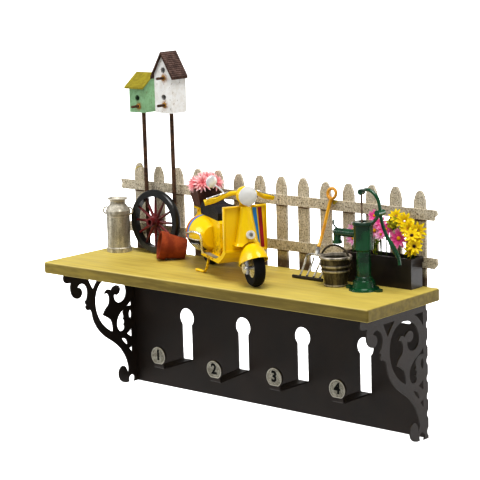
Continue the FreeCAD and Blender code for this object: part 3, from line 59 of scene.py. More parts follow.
# %% Camera
AZIMUTH, ELEVATION, ROLL = (math.radians(a) for a in (41.090, 10.253, -1.693))
TARGET = Vector((-94.590, 72.145, 29.409)) * MM
DISTANCE = 1.581231
level = math.cos(ELEVATION)
back = Vector((math.sin(AZIMUTH) * level, -math.cos(AZIMUTH) * level, math.sin(ELEVATION)))
right = Vector((math.cos(AZIMUTH), math.sin(AZIMUTH), 0))
up = back.cross(right)
turned_right = right * math.cos(ROLL) + up * math.sin(ROLL)
turned_up = up * math.cos(ROLL) - right * math.sin(ROLL)
camera_data = bpy.data.cameras.new("camera")
camera_data.sensor_width = 36
camera_data.lens = 133.297
camera_data.clip_end = 60
camera = bpy.data.objects.new("camera", camera_data)
facing = Matrix((turned_right, turned_up, back)).transposed().to_4x4()
camera.matrix_world = Matrix.Translation(TARGET + back * DISTANCE) @ facing
bpy.context.scene.collection.objects.link(camera)
bpy.context.scene.camera = camera
print("camera at", [round(v, 3) for v in camera.matrix_world.translation])

# %% [markdown]
# A studio would use soft boxes, and round area lamps do the same here. A large one hangs above and to the
# right, so tops shine. A second stands in front on the left: the faces towards the room are brightest
# there and fall into shade towards the right. Two more stand to the right, one of them behind the wall
# line, so that the outer bracket gleams. The last lights the backdrop. The floor is a wide pale bowl well
# below the shelf, because a bowl has no horizon.

# %% Light and floor
scene = bpy.context.scene
scene.view_settings.view_transform = "Standard"
scene.view_settings.gamma = 0.84
world = bpy.data.worlds.new("tent")
world.use_nodes = True
world.node_tree.nodes["Background"].inputs["Color"].default_value = (1, 1, 1, 1)
world.node_tree.nodes["Background"].inputs["Strength"].default_value = 0.36
scene.world = world


def area_lamp(name, place, aim, size, power):
    lamp = bpy.data.lights.new(name, "AREA")
    lamp.shape = "DISK"
    lamp.size = size
    lamp.energy = power
    item = bpy.data.objects.new(name, lamp)
    item.location = place
    item.rotation_euler = (Vector(aim) - Vector(place)).to_track_quat("-Z", "Y").to_euler()
    scene.collection.objects.link(item)


area_lamp("top", (0.35, -0.35, 1.5), (0, 0, 0), 0.9, 22)
area_lamp("front", (-0.72, -0.56, 0.42), (-0.12, 0, 0.05), 0.5, 4.4)
area_lamp("right", (1.6, -0.2, 0.7), (0.1, 0, 0), 0.8, 2.4)
area_lamp("rear_right", (1.15, 1.3, 0.1), (0.15, -0.05, -0.02), 0.9, 10)
area_lamp("backdrop", (-1.1, 1.2, 1.5), (-2.3, 2.7, -0.2), 1.4, 170)


def bowl(name, level, radius, rise, steps=25, spokes=64):
    """A round floor whose rim curves up out of sight."""
    mesh = bmesh.new()
    turn = [2 * math.pi * n / spokes for n in range(spokes)]
    rings = [[mesh.verts.new((0, 0, level))]]
    for k in range(1, steps + 1):
        t = k / steps
        angle = max(0.0, t - 0.5) * math.pi
        out = radius * min(t, 0.5) * 2 + rise * math.sin(angle)
        height = level + rise * (1 - math.cos(angle))
        rings.append([mesh.verts.new((out * math.cos(a), out * math.sin(a), height)) for a in turn])
    for k in range(1, steps + 1):
        for n in range(spokes):
            m = (n + 1) % spokes
            if k == 1:
                mesh.faces.new((rings[0][0], rings[1][n], rings[1][m]))
            else:
                mesh.faces.new((rings[k - 1][n], rings[k][n], rings[k][m], rings[k - 1][m]))
    data = bpy.data.meshes.new(name)
    mesh.to_mesh(data)
    mesh.free()
    for face in data.polygons:
        face.use_smooth = True
    item = bpy.data.objects.new(name, data)
    scene.collection.objects.link(item)


bowl("floor", level=-0.32, radius=3.0, rise=3.0)
print("lamps:", len(bpy.data.lights))

# %% [markdown]
# Materials are trees of nodes. They could be drawn by hand in the shader editor, but the same few nodes
# come back in every paint here, so short functions add them: a node, a noise, a soft step, a mix of two
# colours.

# %% Shader tools
def group(name, inputs, outputs):
    """A new shader group with sockets; gives the tree and its input and output nodes."""
    tree = bpy.data.node_groups.new(name, "ShaderNodeTree")
    for label, kind, default in inputs:
        socket = tree.interface.new_socket(label, in_out="INPUT", socket_type=kind)
        if default is not None:
            socket.default_value = default
    for label, kind in outputs:
        tree.interface.new_socket(label, in_out="OUTPUT", socket_type=kind)
    return tree, tree.nodes.new("NodeGroupInput"), tree.nodes.new("NodeGroupOutput")


def add(tree, kind, inputs=None, **settings):
    """One node; inputs are numbers or sockets."""
    node = tree.nodes.new(kind)
    for key, setting in settings.items():
        setattr(node, key, setting)
    for key, given in (inputs or {}).items():
        if isinstance(given, bpy.types.NodeSocket):
            tree.links.new(given, node.inputs[key])
        else:
            node.inputs[key].default_value = given
    return node


def noise(tree, where, scale, detail=3.0, rough=0.55, stretch=(1, 1, 1)):
    place = add(tree, "ShaderNodeMapping", {"Vector": where, "Scale": stretch})
    made = add(tree, "ShaderNodeTexNoise", {"Vector": place.outputs[0], "Scale": scale, "Detail": detail,
                                            "Roughness": rough})
    return made.outputs[0]


def span(tree, given, low, high, out_low=0.0, out_high=1.0):
    """Maps a range softly onto another."""
    made = add(tree, "ShaderNodeMapRange", {0: given, 1: low, 2: high, 3: out_low, 4: out_high},
               interpolation_type="SMOOTHSTEP")
    return made.outputs[0]


def blend(tree, mask, first, second):
    """The first colour where the mask is zero, the second where it is one."""
    return add(tree, "ShaderNodeMix", {0: mask, 6: first, 7: second}, data_type="RGBA").outputs[2]


def maths(tree, kind, first, second=0.5):
    return add(tree, "ShaderNodeMath", {0: first, 1: second}, operation=kind).outputs[0]


def split(tree, where):
    return add(tree, "ShaderNodeSeparateXYZ", {0: where}).outputs


print("shader tools ready")

# %% [markdown]
# Nearly every finish here has the speckle of a sprayed or cast surface, and the board has the grain of
# wood. Each effect is a shader group with named inputs, built once. A group only works out masks and
# heights; the surface shader itself stays in each material, so that its gloss can be set there.

# %% Shared effects
def make_speckle():
    """Fine grains and soft blotches, as in sprayed or cast surfaces."""
    inputs = [("Vector", "NodeSocketVector", None), ("Grain", "NodeSocketFloat", 900.0),
              ("Blotch", "NodeSocketFloat", 60.0)]
    outputs = [("Grains", "NodeSocketFloat"), ("Blotches", "NodeSocketFloat")]
    tree, given, out = group("speckle", inputs, outputs)
    where, grain, blotch = (given.outputs[name] for name in ("Vector", "Grain", "Blotch"))
    fine = add(tree, "ShaderNodeTexNoise", {"Vector": where, "Scale": grain, "Detail": 4.0, "Roughness": 0.7})
    soft = add(tree, "ShaderNodeTexNoise", {"Vector": where, "Scale": blotch, "Detail": 3.0})
    tree.links.new(span(tree, fine.outputs[0], 0.42, 0.62), out.inputs["Grains"])
    tree.links.new(span(tree, soft.outputs[0], 0.35, 0.65), out.inputs["Blotches"])
    return tree


def make_grain():
    """Wood: long fibres along X, bent by a slow noise, with a few darker lines."""
    inputs = [("Vector", "NodeSocketVector", None), ("Size", "NodeSocketFloat", 1.0),
              ("Stretch", "NodeSocketVector", (1.0, 22.0, 22.0))]
    outputs = [("Fibre", "NodeSocketFloat"), ("Lines", "NodeSocketFloat"), ("Tone", "NodeSocketFloat")]
    tree, given, out = group("wood_grain", inputs, outputs)
    place = add(tree, "ShaderNodeVectorMath", {0: given.outputs["Vector"], 1: given.outputs["Stretch"]},
                operation="MULTIPLY")
    place = add(tree, "ShaderNodeVectorMath", {0: place.outputs[0], "Scale": given.outputs["Size"]},
                operation="SCALE")
    fibre = add(tree, "ShaderNodeTexNoise", {"Vector": place.outputs[0], "Scale": 26.0, "Detail": 6.0,
                                             "Roughness": 0.65, "Distortion": 0.3})
    lines = add(tree, "ShaderNodeTexNoise", {"Vector": place.outputs[0], "Scale": 7.0, "Detail": 2.0,
                                             "Distortion": 0.8})
    tone = add(tree, "ShaderNodeTexNoise", {"Vector": given.outputs["Vector"], "Scale": 14.0, "Detail": 2.0})
    tree.links.new(fibre.outputs[0], out.inputs["Fibre"])
    tree.links.new(span(tree, lines.outputs[0], 0.52, 0.66), out.inputs["Lines"])
    tree.links.new(span(tree, tone.outputs[0], 0.35, 0.65), out.inputs["Tone"])
    return tree


SPECKLE = make_speckle()
GRAIN = make_grain()
print("shader groups:", [tree.name for tree in bpy.data.node_groups])

# %% [markdown]
# A finish is mixed the way a painter works: a base, then wear, dirt and grain over it. The class below
# keeps one material's tree and its object coordinates together, so that a finish reads as a short list of
# layers.

# %% Paint
class Paint:
    """A material under construction: its tree, its surface shader and the object coordinates."""

    def __init__(self, name, roughness=0.5, metallic=0.0, coat=0.0, specular=0.5):
        self.material = bpy.data.materials.new(name)
        self.material.use_nodes = True
        self.tree = self.material.node_tree
        self.shader = self.tree.nodes["Principled BSDF"]
        self.shader.inputs["Roughness"].default_value = roughness
        self.shader.inputs["Metallic"].default_value = metallic
        self.shader.inputs["Coat Weight"].default_value = coat
        self.shader.inputs["Specular IOR Level"].default_value = specular
        self.where = self.tree.nodes.new("ShaderNodeTexCoord").outputs["Object"]

    def speckle(self, grain=900.0, blotch=60.0):
        node = add(self.tree, "ShaderNodeGroup", node_tree=SPECKLE)
        self.tree.links.new(self.where, node.inputs["Vector"])
        node.inputs["Grain"].default_value = grain
        node.inputs["Blotch"].default_value = blotch
        return node.outputs["Grains"], node.outputs["Blotches"]

    def grain(self, size=1.0, stretch=(1.0, 22.0, 22.0)):
        node = add(self.tree, "ShaderNodeGroup", node_tree=GRAIN)
        self.tree.links.new(self.where, node.inputs["Vector"])
        node.inputs["Size"].default_value = size
        node.inputs["Stretch"].default_value = stretch
        return node.outputs["Fibre"], node.outputs["Lines"], node.outputs["Tone"]

    def noise(self, scale, **more):
        return noise(self.tree, self.where, scale, **more)

    def span(self, given, low, high, out_low=0.0, out_high=1.0):
        return span(self.tree, given, low, high, out_low, out_high)

    def blend(self, mask, first, second):
        return blend(self.tree, mask, first, second)

    def both(self, first, second):
        """Two masks multiplied: strong only where both are."""
        return maths(self.tree, "MULTIPLY", first, second)

    def axes(self):
        """The object coordinates, one by one."""
        return split(self.tree, self.where)

    def between(self, given, low, high, soft=0.0003):
        """One between two levels and zero outside, with soft ends."""
        return self.both(self.span(given, low - soft, low + soft),
                         self.span(given, high - soft, high + soft, 1.0, 0.0))

    def near(self, centre, level, inner, outer, squash=1.0):
        """One near a point of the front view, given in millimetres; zero from the outer radius on."""
        place = self.axes()
        across = maths(self.tree, "SUBTRACT", place[0], centre * MM)
        along = self.both(maths(self.tree, "SUBTRACT", place[2], level * MM), squash)
        square = maths(self.tree, "ADD", self.both(across, across), self.both(along, along))
        return self.span(maths(self.tree, "SQRT", square), inner * MM, outer * MM, 1.0, 0.0)

    def colour(self, socket):
        self.tree.links.new(socket, self.shader.inputs["Base Color"])
        return self

    def rough(self, socket):
        self.tree.links.new(socket, self.shader.inputs["Roughness"])
        return self

    def bump(self, height, strength=0.3, distance=0.0004):
        given = {"Height": height, "Strength": strength, "Distance": distance}
        made = add(self.tree, "ShaderNodeBump", given)
        self.tree.links.new(made.outputs[0], self.shader.inputs["Normal"])
        return self


print("paint can be mixed")

# %% [markdown]
# Colours are easier to judge as they look on screen, from 0 to 255, but a shader wants amounts of light.
# One function turns the first into the second. Another gives a finish to the nodes of the CAD model.

# %% Colours and dressing
def rgb(red, green, blue):
    """A colour given as it looks on screen, turned into light values."""
    def light(v):
        v = v / 255
        return v / 12.92 if v <= 0.04045 else ((v + 0.055) / 1.055) ** 2.4
    return (light(red), light(green), light(blue), 1.0)


def dress(material, *names):
    """Gives CAD nodes their material."""
    for name in names:
        NODES[name].data.materials.clear()
        NODES[name].data.materials.append(material)


print("nodes to dress:", len(NODES))

# %% [markdown]
# The steel is sprayed almost black with a brown cast. A flat black would look like plastic, so fine
# grains of the paint catch the light through colour, gloss and a shallow bump. A small near-black disc of
# painted shade on the left of the plate stands for a pinhole. The screws under the flange are bare steel.

# %% Steel frame
PINHOLE_SHADE = (-137.0, -17.2)


def steel_paint():
    paint = Paint("frame_steel", roughness=0.5, specular=0.46)
    grains, blotches = paint.speckle(1500.0, 26.0)
    base = paint.blend(blotches, rgb(20, 10, 3), rgb(32, 19, 9))
    base = paint.blend(paint.span(grains, 0.3, 1.0, 0.0, 0.5), base, rgb(60, 44, 30))
    # Painted shade: a near-black disc at the pinhole.
    base = paint.blend(paint.near(*PINHOLE_SHADE, 0.5, 0.9), base, rgb(6, 5, 4))
    paint.colour(base).rough(paint.span(grains, 0.0, 1.0, 0.42, 0.6))
    return paint.bump(grains, 0.25, 0.0002).material


def screw_steel():
    paint = Paint("screw_steel", roughness=0.35, metallic=1.0)
    grains = paint.speckle(1800.0, 200.0)[0]
    return paint.colour(paint.blend(grains, rgb(120, 116, 110), rgb(176, 172, 166))).material


dress(steel_paint(), "steel_frame")
dress(screw_steel(), "board_screws")
print("steel dressed")

# %% [markdown]
# The board is pine under a thin yellow-olive stain. A picture of wood would repeat and stop at the
# corners, so the grain is made in space and runs on over the edges. Painted shade darkens the sides,
# streaked with grain, and deepens to the right; a painted highlight runs pale along the front top edge.

# %% Board
def board_stain():
    paint = Paint("board_wood", roughness=0.55, specular=0.35)
    tree = paint.tree
    fibre, lines, tone = paint.grain(1.0, (1.0, 14.0, 14.0))
    base = paint.blend(paint.span(fibre, 0.3, 0.7), rgb(182, 160, 72), rgb(206, 186, 94))
    base = paint.blend(paint.span(lines, 0.0, 1.0, 0.0, 0.45), base, rgb(168, 142, 54))
    base = paint.blend(paint.span(tone, 0.0, 1.0, 0.0, 0.35), base, rgb(218, 200, 108))
    # Painted shade: faces that do not look up take a darker colour, streaked with grain.
    upward = split(tree, add(tree, "ShaderNodeNewGeometry").outputs["Normal"])[2]
    shaded_sides = paint.span(maths(tree, "ABSOLUTE", upward), 0.35, 0.9, 1.0, 0.0)
    streak = paint.span(paint.noise(60.0, stretch=(0.5, 4, 4)), 0.35, 0.65)
    x, y, z = paint.axes()
    side = paint.blend(streak, rgb(106, 90, 34), rgb(142, 124, 54))
    # Painted shade: the sides grow darker towards the right.
    side = paint.blend(paint.span(x, -0.08, 0.17, 0.0, 0.5), side, rgb(72, 58, 16))
    base = paint.blend(paint.both(shaded_sides, 0.85), base, side)
    # Painted highlight: a pale line along the front edge of the top.
    front_edge = paint.span(y, -0.0930, -0.0938)
    top_edge = paint.span(z, 0.0280, 0.0290)
    wear_and_highlight = paint.both(paint.both(front_edge, top_edge), 0.5)
    base = paint.blend(wear_and_highlight, base, rgb(226, 208, 132))
    paint.colour(base).rough(paint.span(fibre, 0.3, 0.7, 0.48, 0.66))
    return paint.bump(fibre, 0.22, 0.0003).material


dress(board_stain(), "shelf_board")
print("board stained")

# %% [markdown]
# The fence is grey with age: sandy wood with dark pores and greyer patches. The pickets darken towards
# their feet, and a band of painted shadow lies under each rail. Both are masks of height, broken up by
# noise. Real pickets have no sharp corners, so a small bevel modifier softens every stick and leaves the
# CAD mesh as it is.

# %% Fence
PICKETS = ["picket_%02d" % n for n in range(1, 15)]
RAILS = ["rail_top", "rail_bottom"]
RAIL_UNDERSIDES = (0.0440, 0.0812)
RAIL_SHADOW_HEIGHT = 0.0016


def fence_wood():
    paint = Paint("fence_wood", roughness=0.85, specular=0.2)
    grains, blotches = paint.speckle(820.0, 90.0)
    upright = paint.noise(420.0, detail=5.0, rough=0.7, stretch=(1, 1, 0.3))
    base = paint.blend(paint.span(upright, 0.32, 0.68), rgb(188, 178, 154), rgb(228, 218, 198))
    base = paint.blend(paint.both(blotches, 0.5), base, rgb(206, 198, 182))
    base = paint.blend(paint.span(grains, 0.35, 0.95, 0.0, 0.75), base, rgb(124, 110, 86))
    height = paint.axes()[2]
    # The pickets get darker towards their feet.
    foot = paint.span(height, 0.034, 0.041, 1.0, 0.0)
    foot_darkening = paint.both(foot, paint.span(paint.noise(160.0), 0.25, 0.5, 0.7, 1.0))
    base = paint.blend(foot_darkening, base, rgb(98, 82, 68))
    # Painted shadow: a dark band on the pickets just under each rail.
    for level in RAIL_UNDERSIDES:
        shadow_breakup = paint.span(paint.noise(300.0), 0.3, 0.6, 0.4, 0.95)
        band = paint.both(paint.between(height, level - RAIL_SHADOW_HEIGHT, level), shadow_breakup)
        base = paint.blend(band, base, rgb(92, 66, 44))
    paint.colour(base)
    return paint.bump(upright, 0.6, 0.0005).material


dress(fence_wood(), *RAILS, *PICKETS)
for label in RAILS + PICKETS:
    soft = NODES[label].modifiers.new("worn_edges", "BEVEL")
    soft.width = 0.45 * MM
    soft.segments = 2
    soft.limit_method = "ANGLE"
print("fence sticks:", len(RAILS + PICKETS))

# %% [markdown]
# Rust has taken the poles. The bird houses are painted: mint green under an olive roof, and off-white
# under a dark shingled roof. The paint flakes off in small brown specks, and rust spreads from the
# perches. The rust stains and the black painted shade in the entrances are round masks on the front wall
# only, because a mask in space would show on the back as well.

# %% Poles and bird houses
def rust(name, dark, light):
    paint = Paint(name, roughness=0.8, specular=0.25)
    grains, blotches = paint.speckle(900.0, 260.0)
    base = paint.blend(blotches, dark, light)
    base = paint.blend(paint.span(grains, 0.4, 1.0, 0.0, 0.5), base, rgb(38, 26, 20))
    return paint.colour(base).bump(grains, 0.5, 0.0004).material


def house_paint(name, coat, wear_and_highlight, stains, hole_shades=()):
    """Chalky paint. In millimetres, stains are (x, z, radius) of rust, and hole_shades are (x, z) of black
    painted shade.
    """
    paint = Paint(name, roughness=0.85, specular=0.12)
    grains, blotches = paint.speckle(1000.0, 240.0)
    base = paint.blend(paint.span(blotches, 0.2, 0.9, 0.0, 0.4), coat, wear_and_highlight)
    flakes = paint.span(paint.noise(330.0, detail=6.0, rough=0.75), 0.60, 0.66)
    base = paint.blend(paint.both(flakes, 0.7), base, rgb(118, 92, 62))
    front = paint.span(paint.axes()[1], -0.010, -0.011)
    patchy = paint.both(front, paint.span(paint.noise(500.0), 0.35, 0.6, 0.15, 0.9))
    for centre, level, radius in stains:
        mark = paint.both(paint.near(centre, level, radius * 0.3, radius, 0.8), patchy)
        base = paint.blend(mark, base, rgb(158, 104, 40))
    # Painted shade: black fills each entrance hole on the front wall.
    for centre, level in hole_shades:
        hole_shade = paint.both(paint.near(centre, level, 2.3, 2.45), front)
        base = paint.blend(hole_shade, base, rgb(8, 7, 6))
    return paint.colour(base).bump(grains, 0.35, 0.0004).material


dress(rust("pole_rust", rgb(68, 50, 38), rgb(104, 76, 56)), "pole_left", "pole_right")
dress(rust("perch_wood", rgb(72, 50, 38), rgb(104, 76, 56)), "house_perches")
GREEN_STAINS = [(-127.2, 156, 4.4)]
GREEN_HOLE_SHADES = [(-128.6, 163.0)]
WHITE_STAINS = [(-95.4, 158.6, 4.6), (-95.4, 181.4, 4.8)]
WHITE_HOLE_SHADES = [(-96.4, 165.0), (-96.4, 187.8)]
dress(house_paint("green_paint", rgb(148, 188, 148), rgb(120, 154, 112), GREEN_STAINS, GREEN_HOLE_SHADES),
      "green_house_body")
dress(house_paint("white_paint", rgb(234, 234, 232), rgb(216, 212, 204), WHITE_STAINS, WHITE_HOLE_SHADES),
      "white_house_body")
dress(house_paint("green_roof_paint", rgb(158, 146, 52), rgb(116, 104, 36), []), "green_house_roof")
dress(rust("white_roof_stain", rgb(60, 42, 34), rgb(92, 66, 52)), "white_house_roof")
print("bird houses painted")

# %% [markdown]
# The churn and the bucket are antique pewter: bright on the bands and dark in the hollows. A dark wash
# that is wiped off the raised parts would do this on the real ones; the bright bands are painted
# highlight as well. Here the bands are ranges of height, and streaks break them up.

# %% Churn and bucket
def pewter(name, dark, light, wear_and_highlight_rings):
    """Worn pewter; wear_and_highlight_rings are (low, high) levels in millimetres above the wall's zero line,
    painted bright as wiped wash and painted highlight.
    """
    paint = Paint(name, roughness=0.42, metallic=0.6)
    grains, blotches = paint.speckle(1300.0, 150.0)
    streaks = paint.noise(260.0, detail=4.0, stretch=(1, 1, 0.2))
    base = paint.blend(paint.span(streaks, 0.35, 0.65), dark, light)
    base = paint.blend(paint.both(blotches, 0.5), base, dark)
    base = paint.blend(paint.span(grains, 0.5, 1.0, 0.0, 0.4), base, rgb(48, 44, 36))
    height = paint.axes()[2]
    for low, high in wear_and_highlight_rings:
        wiped = paint.span(streaks, 0.3, 0.6, 0.3, 0.95)
        # The bright bands are wash wiped off the raised parts and painted highlight.
        ring = paint.both(paint.between(height, low * MM, high * MM), wiped)
        base = paint.blend(ring, base, rgb(216, 208, 192))
    return paint.colour(base).rough(paint.span(blotches, 0, 1, 0.34, 0.58)).bump(grains, 0.3, 0.0003).material


CAN_BANDS = [(73.4, 75.4), (60.2, 61.2)]
BUCKET_BANDS = [(40.8, 42.3), (44.7, 46.2), (50.9, 53.2), (30.0, 31.0)]
dress(pewter("can_pewter", rgb(164, 158, 144), rgb(228, 223, 210), CAN_BANDS), "milk_can")
dress(pewter("bucket_pewter", rgb(58, 50, 38), rgb(126, 118, 96), BUCKET_BANDS), "bucket", "bucket_bail")
print("bright bands:", len(CAN_BANDS + BUCKET_BANDS))

# %% [markdown]
# The wheel is enamelled black outside and oxblood inside, and the fallen pot is bare clay. Enamel is a
# plain colour under a thin clear coat, with chips where a fine noise peaks. Clay has no coat, only grains
# and soft blotches.

# %% Wheel and pot
def enamel(name, deep, bright, roughness=0.3, coat=0.4, wear=0.3):
    """Thick gloss paint, darker where it pools, chipped here and there."""
    paint = Paint(name, roughness=roughness, coat=coat)
    grains, blotches = paint.speckle(700.0, 70.0)
    base = paint.blend(blotches, deep, bright)
    chips = paint.span(paint.noise(420.0, detail=6.0, rough=0.7), 0.66, 0.70)
    base = paint.blend(paint.both(chips, wear), base, rgb(60, 44, 30))
    return paint.colour(base).bump(grains, 0.08, 0.0003).material


def bare_clay():
    paint = Paint("terracotta", roughness=0.8, specular=0.3)
    grains, blotches = paint.speckle(1200.0, 120.0)
    base = paint.blend(blotches, rgb(136, 57, 27), rgb(168, 79, 39))
    base = paint.blend(paint.span(grains, 0.5, 1.0, 0.0, 0.35), base, rgb(112, 48, 28))
    return paint.colour(base).bump(grains, 0.3, 0.0003).material


dress(enamel("wheel_black", rgb(12, 12, 12), rgb(26, 25, 24), 0.34, 0.3), "wheel_tyre")
dress(enamel("wheel_red", rgb(70, 18, 16), rgb(122, 24, 30), 0.4, 0.2), "wheel_spokes")
dress(bare_clay(), "clay_pot")
print("wheel and pot painted")

# %% [markdown]
# The scooter is bright yellow enamel that turns brown low on the body below the seat. The brown could be
# a patch of its own, but it belongs to the same surface as the yellow. It lies at one stretch of the
# scooter's own length, so the material turns the shelf's coordinates by the scooter's angle first.

# %% Scooter's yellow
DECK = 29.4
SCOOTER_SPOT = (-41.4, -24.9, DECK)
SCOOTER_TURN = math.radians(-29.4)
UNDER_SEAT = (0.0305, 0.052)


def scooter_yellow():
    paint = Paint("scooter_yellow", roughness=0.3, coat=0.25, specular=0.3)
    tree = paint.tree
    grains, blotches = paint.speckle(700.0, 60.0)
    base = paint.blend(paint.span(blotches, 0, 1, 0.0, 0.5), rgb(246, 208, 0), rgb(238, 195, 0))
    x, y, z = paint.axes()
    ahead, beside = math.cos(SCOOTER_TURN), math.sin(SCOOTER_TURN)
    forward = maths(tree, "ADD", paint.both(x, ahead), paint.both(y, beside))
    forward = maths(tree, "SUBTRACT", forward, (SCOOTER_SPOT[0] * ahead + SCOOTER_SPOT[1] * beside) * MM)
    under_seat = paint.both(paint.between(forward, *UNDER_SEAT, 0.001), 0.85)
    # The body turns brown low down, below the seat.
    low = paint.span(z, 0.044, 0.070, 1.0, 0.0)
    low_brown = paint.both(low, paint.span(paint.noise(300.0, detail=5.0, rough=0.75), 0.46, 0.60))
    base = paint.blend(paint.both(low_brown, under_seat), base, rgb(128, 72, 6))
    return paint.colour(base).bump(grains, 0.05, 0.0003).material


YELLOW = scooter_yellow()
dress(YELLOW, "scooter_body", "scooter_cowl_left", "scooter_cowl_right", "scooter_front_fender",
      "scooter_handlebar", "scooter_stand", "scooter_rack")
print("yellow enamel on")

# %% [markdown]
# The rest of the scooter is chrome, rubber, a black seat, white lamps and a maroon basket. Clean chrome
# would mirror an empty studio and look grey, so it is only four fifths metal and a little rough.

# %% Chrome, rubber, seat, lamps and basket
def plain_metal(name, dark, light, roughness, metallic=1.0):
    paint = Paint(name, roughness=roughness, metallic=metallic)
    grains, blotches = paint.speckle(900.0, 240.0)
    base = paint.blend(blotches, dark, light)
    return paint.colour(base).rough(paint.span(grains, 0, 1, roughness, roughness + 0.15)).material


def soft_black(name, dark, light, roughness=0.75):
    paint = Paint(name, roughness=roughness, specular=0.22)
    grains, blotches = paint.speckle(1500.0, 120.0)
    base = paint.blend(blotches, dark, light)
    return paint.colour(base).bump(grains, 0.35, 0.0003).material


MIRROR = plain_metal("mirror_silver", rgb(222, 222, 222), rgb(240, 240, 240), 0.3, 0.4)
CHROME = plain_metal("scooter_chrome", rgb(206, 204, 202), rgb(244, 243, 242), 0.2, 0.8)
RUBBER = soft_black("scooter_tyre", rgb(4, 4, 4), rgb(11, 10, 10), 0.7)
WHITE = enamel("lamp_white", rgb(212, 211, 209), rgb(232, 231, 228), 0.3, 0.4, 0.0)
dress(CHROME, "scooter_fork", "scooter_guard_bar")
dress(MIRROR, "scooter_mirror")
dress(RUBBER, "scooter_front_tyre", "scooter_rear_tyre")
dress(WHITE, "scooter_headlamp", "scooter_horn")
dress(soft_black("seat_black", rgb(17, 17, 19), rgb(34, 34, 39), 0.55), "scooter_seat")
dress(enamel("basket_maroon", rgb(60, 33, 27), rgb(86, 49, 41), 0.55, 0.1, 0.3), "scooter_basket")
print("scooter painted")

# %% [markdown]
# The pump is dark green and glossy, the fork's handle mustard, and the trough almost black with a brown
# bloom. The fork's tines are bare steel, dark at the crown and where they rest. One solid gets three
# tones from its height, so that no extra pieces are needed.

# %% Pump, fork and trough
PUMP = enamel("pump_green", rgb(0, 50, 26), rgb(8, 84, 46), 0.22, 0.5, 0.5)
dress(PUMP, "pump_body", "pump_handle")
dress(plain_metal("rod_bronze", rgb(112, 92, 78), rgb(150, 128, 110), 0.4, 0.8), "pump_rod")
dress(enamel("fork_yellow", rgb(208, 146, 14), rgb(238, 182, 30), 0.35, 0.3, 0.5), "fork_handle")


def fork_steel():
    paint = Paint("fork_steel", roughness=0.3, metallic=0.5)
    grains, blotches = paint.speckle(900.0, 200.0)
    base = paint.blend(blotches, rgb(196, 196, 194), rgb(240, 240, 238))
    height = paint.axes()[2]
    rest = paint.span(height, 0.0322, 0.0334, 1.0, 0.0)
    crown = paint.span(paint.noise(300.0), 0.35, 0.6, 0.0, 0.8)
    crown = paint.both(crown, paint.span(height, 0.044, 0.047))
    base = paint.blend(rest, base, rgb(66, 62, 58))
    base = paint.blend(crown, base, rgb(70, 66, 62))
    return paint.colour(base).bump(grains, 0.3, 0.0003).material


dress(fork_steel(), "fork_head")
dress(enamel("planter_brown", rgb(20, 13, 11), rgb(38, 26, 22), 0.45, 0.1, 0.6), "planter_box")
print("materials so far:", len(bpy.data.materials))

# %% [markdown]
# Small parts are drawn in millimetres and set into place. Each rides the shelf's one body and names the
# paint that it shares. The scooter stands at an angle on the board, so its parts are drawn in its own
# frame and turned into place together.

# %% Adding a piece
def link(name, data, material):
    """Adds a finished piece to the shelf."""
    item = bpy.data.objects.new(name, data)
    scene.collection.objects.link(item)
    data.materials.append(material)
    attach(item, "root")
    return item


def piece(name, material, draw, place=None, smooth=True):
    """Draws one piece in millimetres and sets it into its place."""
    mesh = bmesh.new()
    mesh.loops.layers.uv.new("UVMap")
    draw(mesh)
    mesh.transform(Matrix.Scale(MM, 4) @ (place or Matrix()))
    data = bpy.data.meshes.new(name)
    mesh.to_mesh(data)
    mesh.free()
    for face in data.polygons:
        face.use_smooth = smooth
    return link(name, data, material)


SCOOTER = Matrix.Translation(SCOOTER_SPOT) @ Matrix.Rotation(SCOOTER_TURN, 4, "Z")
print("scooter stands at", [round(v, 4) for v in SCOOTER.translation])

# %% [markdown]
# Cubes and cylinders could be added and stretched by hand. A few drawing tools keep every part a handful
# of numbers instead: a round wire along a path, a slab from an outline, and a low round head for bolts,
# nails and drops.

# %% Drawing tools
def join_rings(mesh, first, second):
    """A belt of faces between two rings of points."""
    count = len(first)
    for n in range(count):
        m = (n + 1) % count
        mesh.faces.new((first[n], first[m], second[m], second[n]))


def wire(mesh, points, radius, sides=12, closed=False):
    """A round wire through points; radius is one number or one for each point."""
    points = [Vector(p) for p in points]
    count = len(points)
    across = None
    rings = []
    for k, here in enumerate(points):
        before = points[k - 1] if k or closed else here
        after = points[(k + 1) % count] if k < count - 1 or closed else here
        along = (after - before).normalized()
        across = along.orthogonal() if across is None else across - along * across.dot(along)
        across.normalize()
        other = along.cross(across)
        size = radius[k] if isinstance(radius, (list, tuple)) else radius
        angles = [2 * math.pi * n / sides for n in range(sides)]
        rings.append([mesh.verts.new(here + across * size * math.cos(a) + other * size * math.sin(a))
                      for a in angles])
    for k in range(count if closed else count - 1):
        join_rings(mesh, rings[k], rings[(k + 1) % count])
    if not closed:
        mesh.faces.new(rings[0][::-1])
        mesh.faces.new(rings[-1])


def slab(mesh, corners, depth):
    """A flat outline given depth by a vector."""
    near = [mesh.verts.new(c) for c in corners]
    far = [mesh.verts.new(Vector(c) + Vector(depth)) for c in corners]
    count = len(corners)
    faces = [mesh.faces.new(near[::-1]), mesh.faces.new(far)]
    for n in range(count):
        m = (n + 1) % count
        faces.append(mesh.faces.new((near[n], near[m], far[m], far[n])))
    bmesh.ops.recalc_face_normals(mesh, faces=faces)


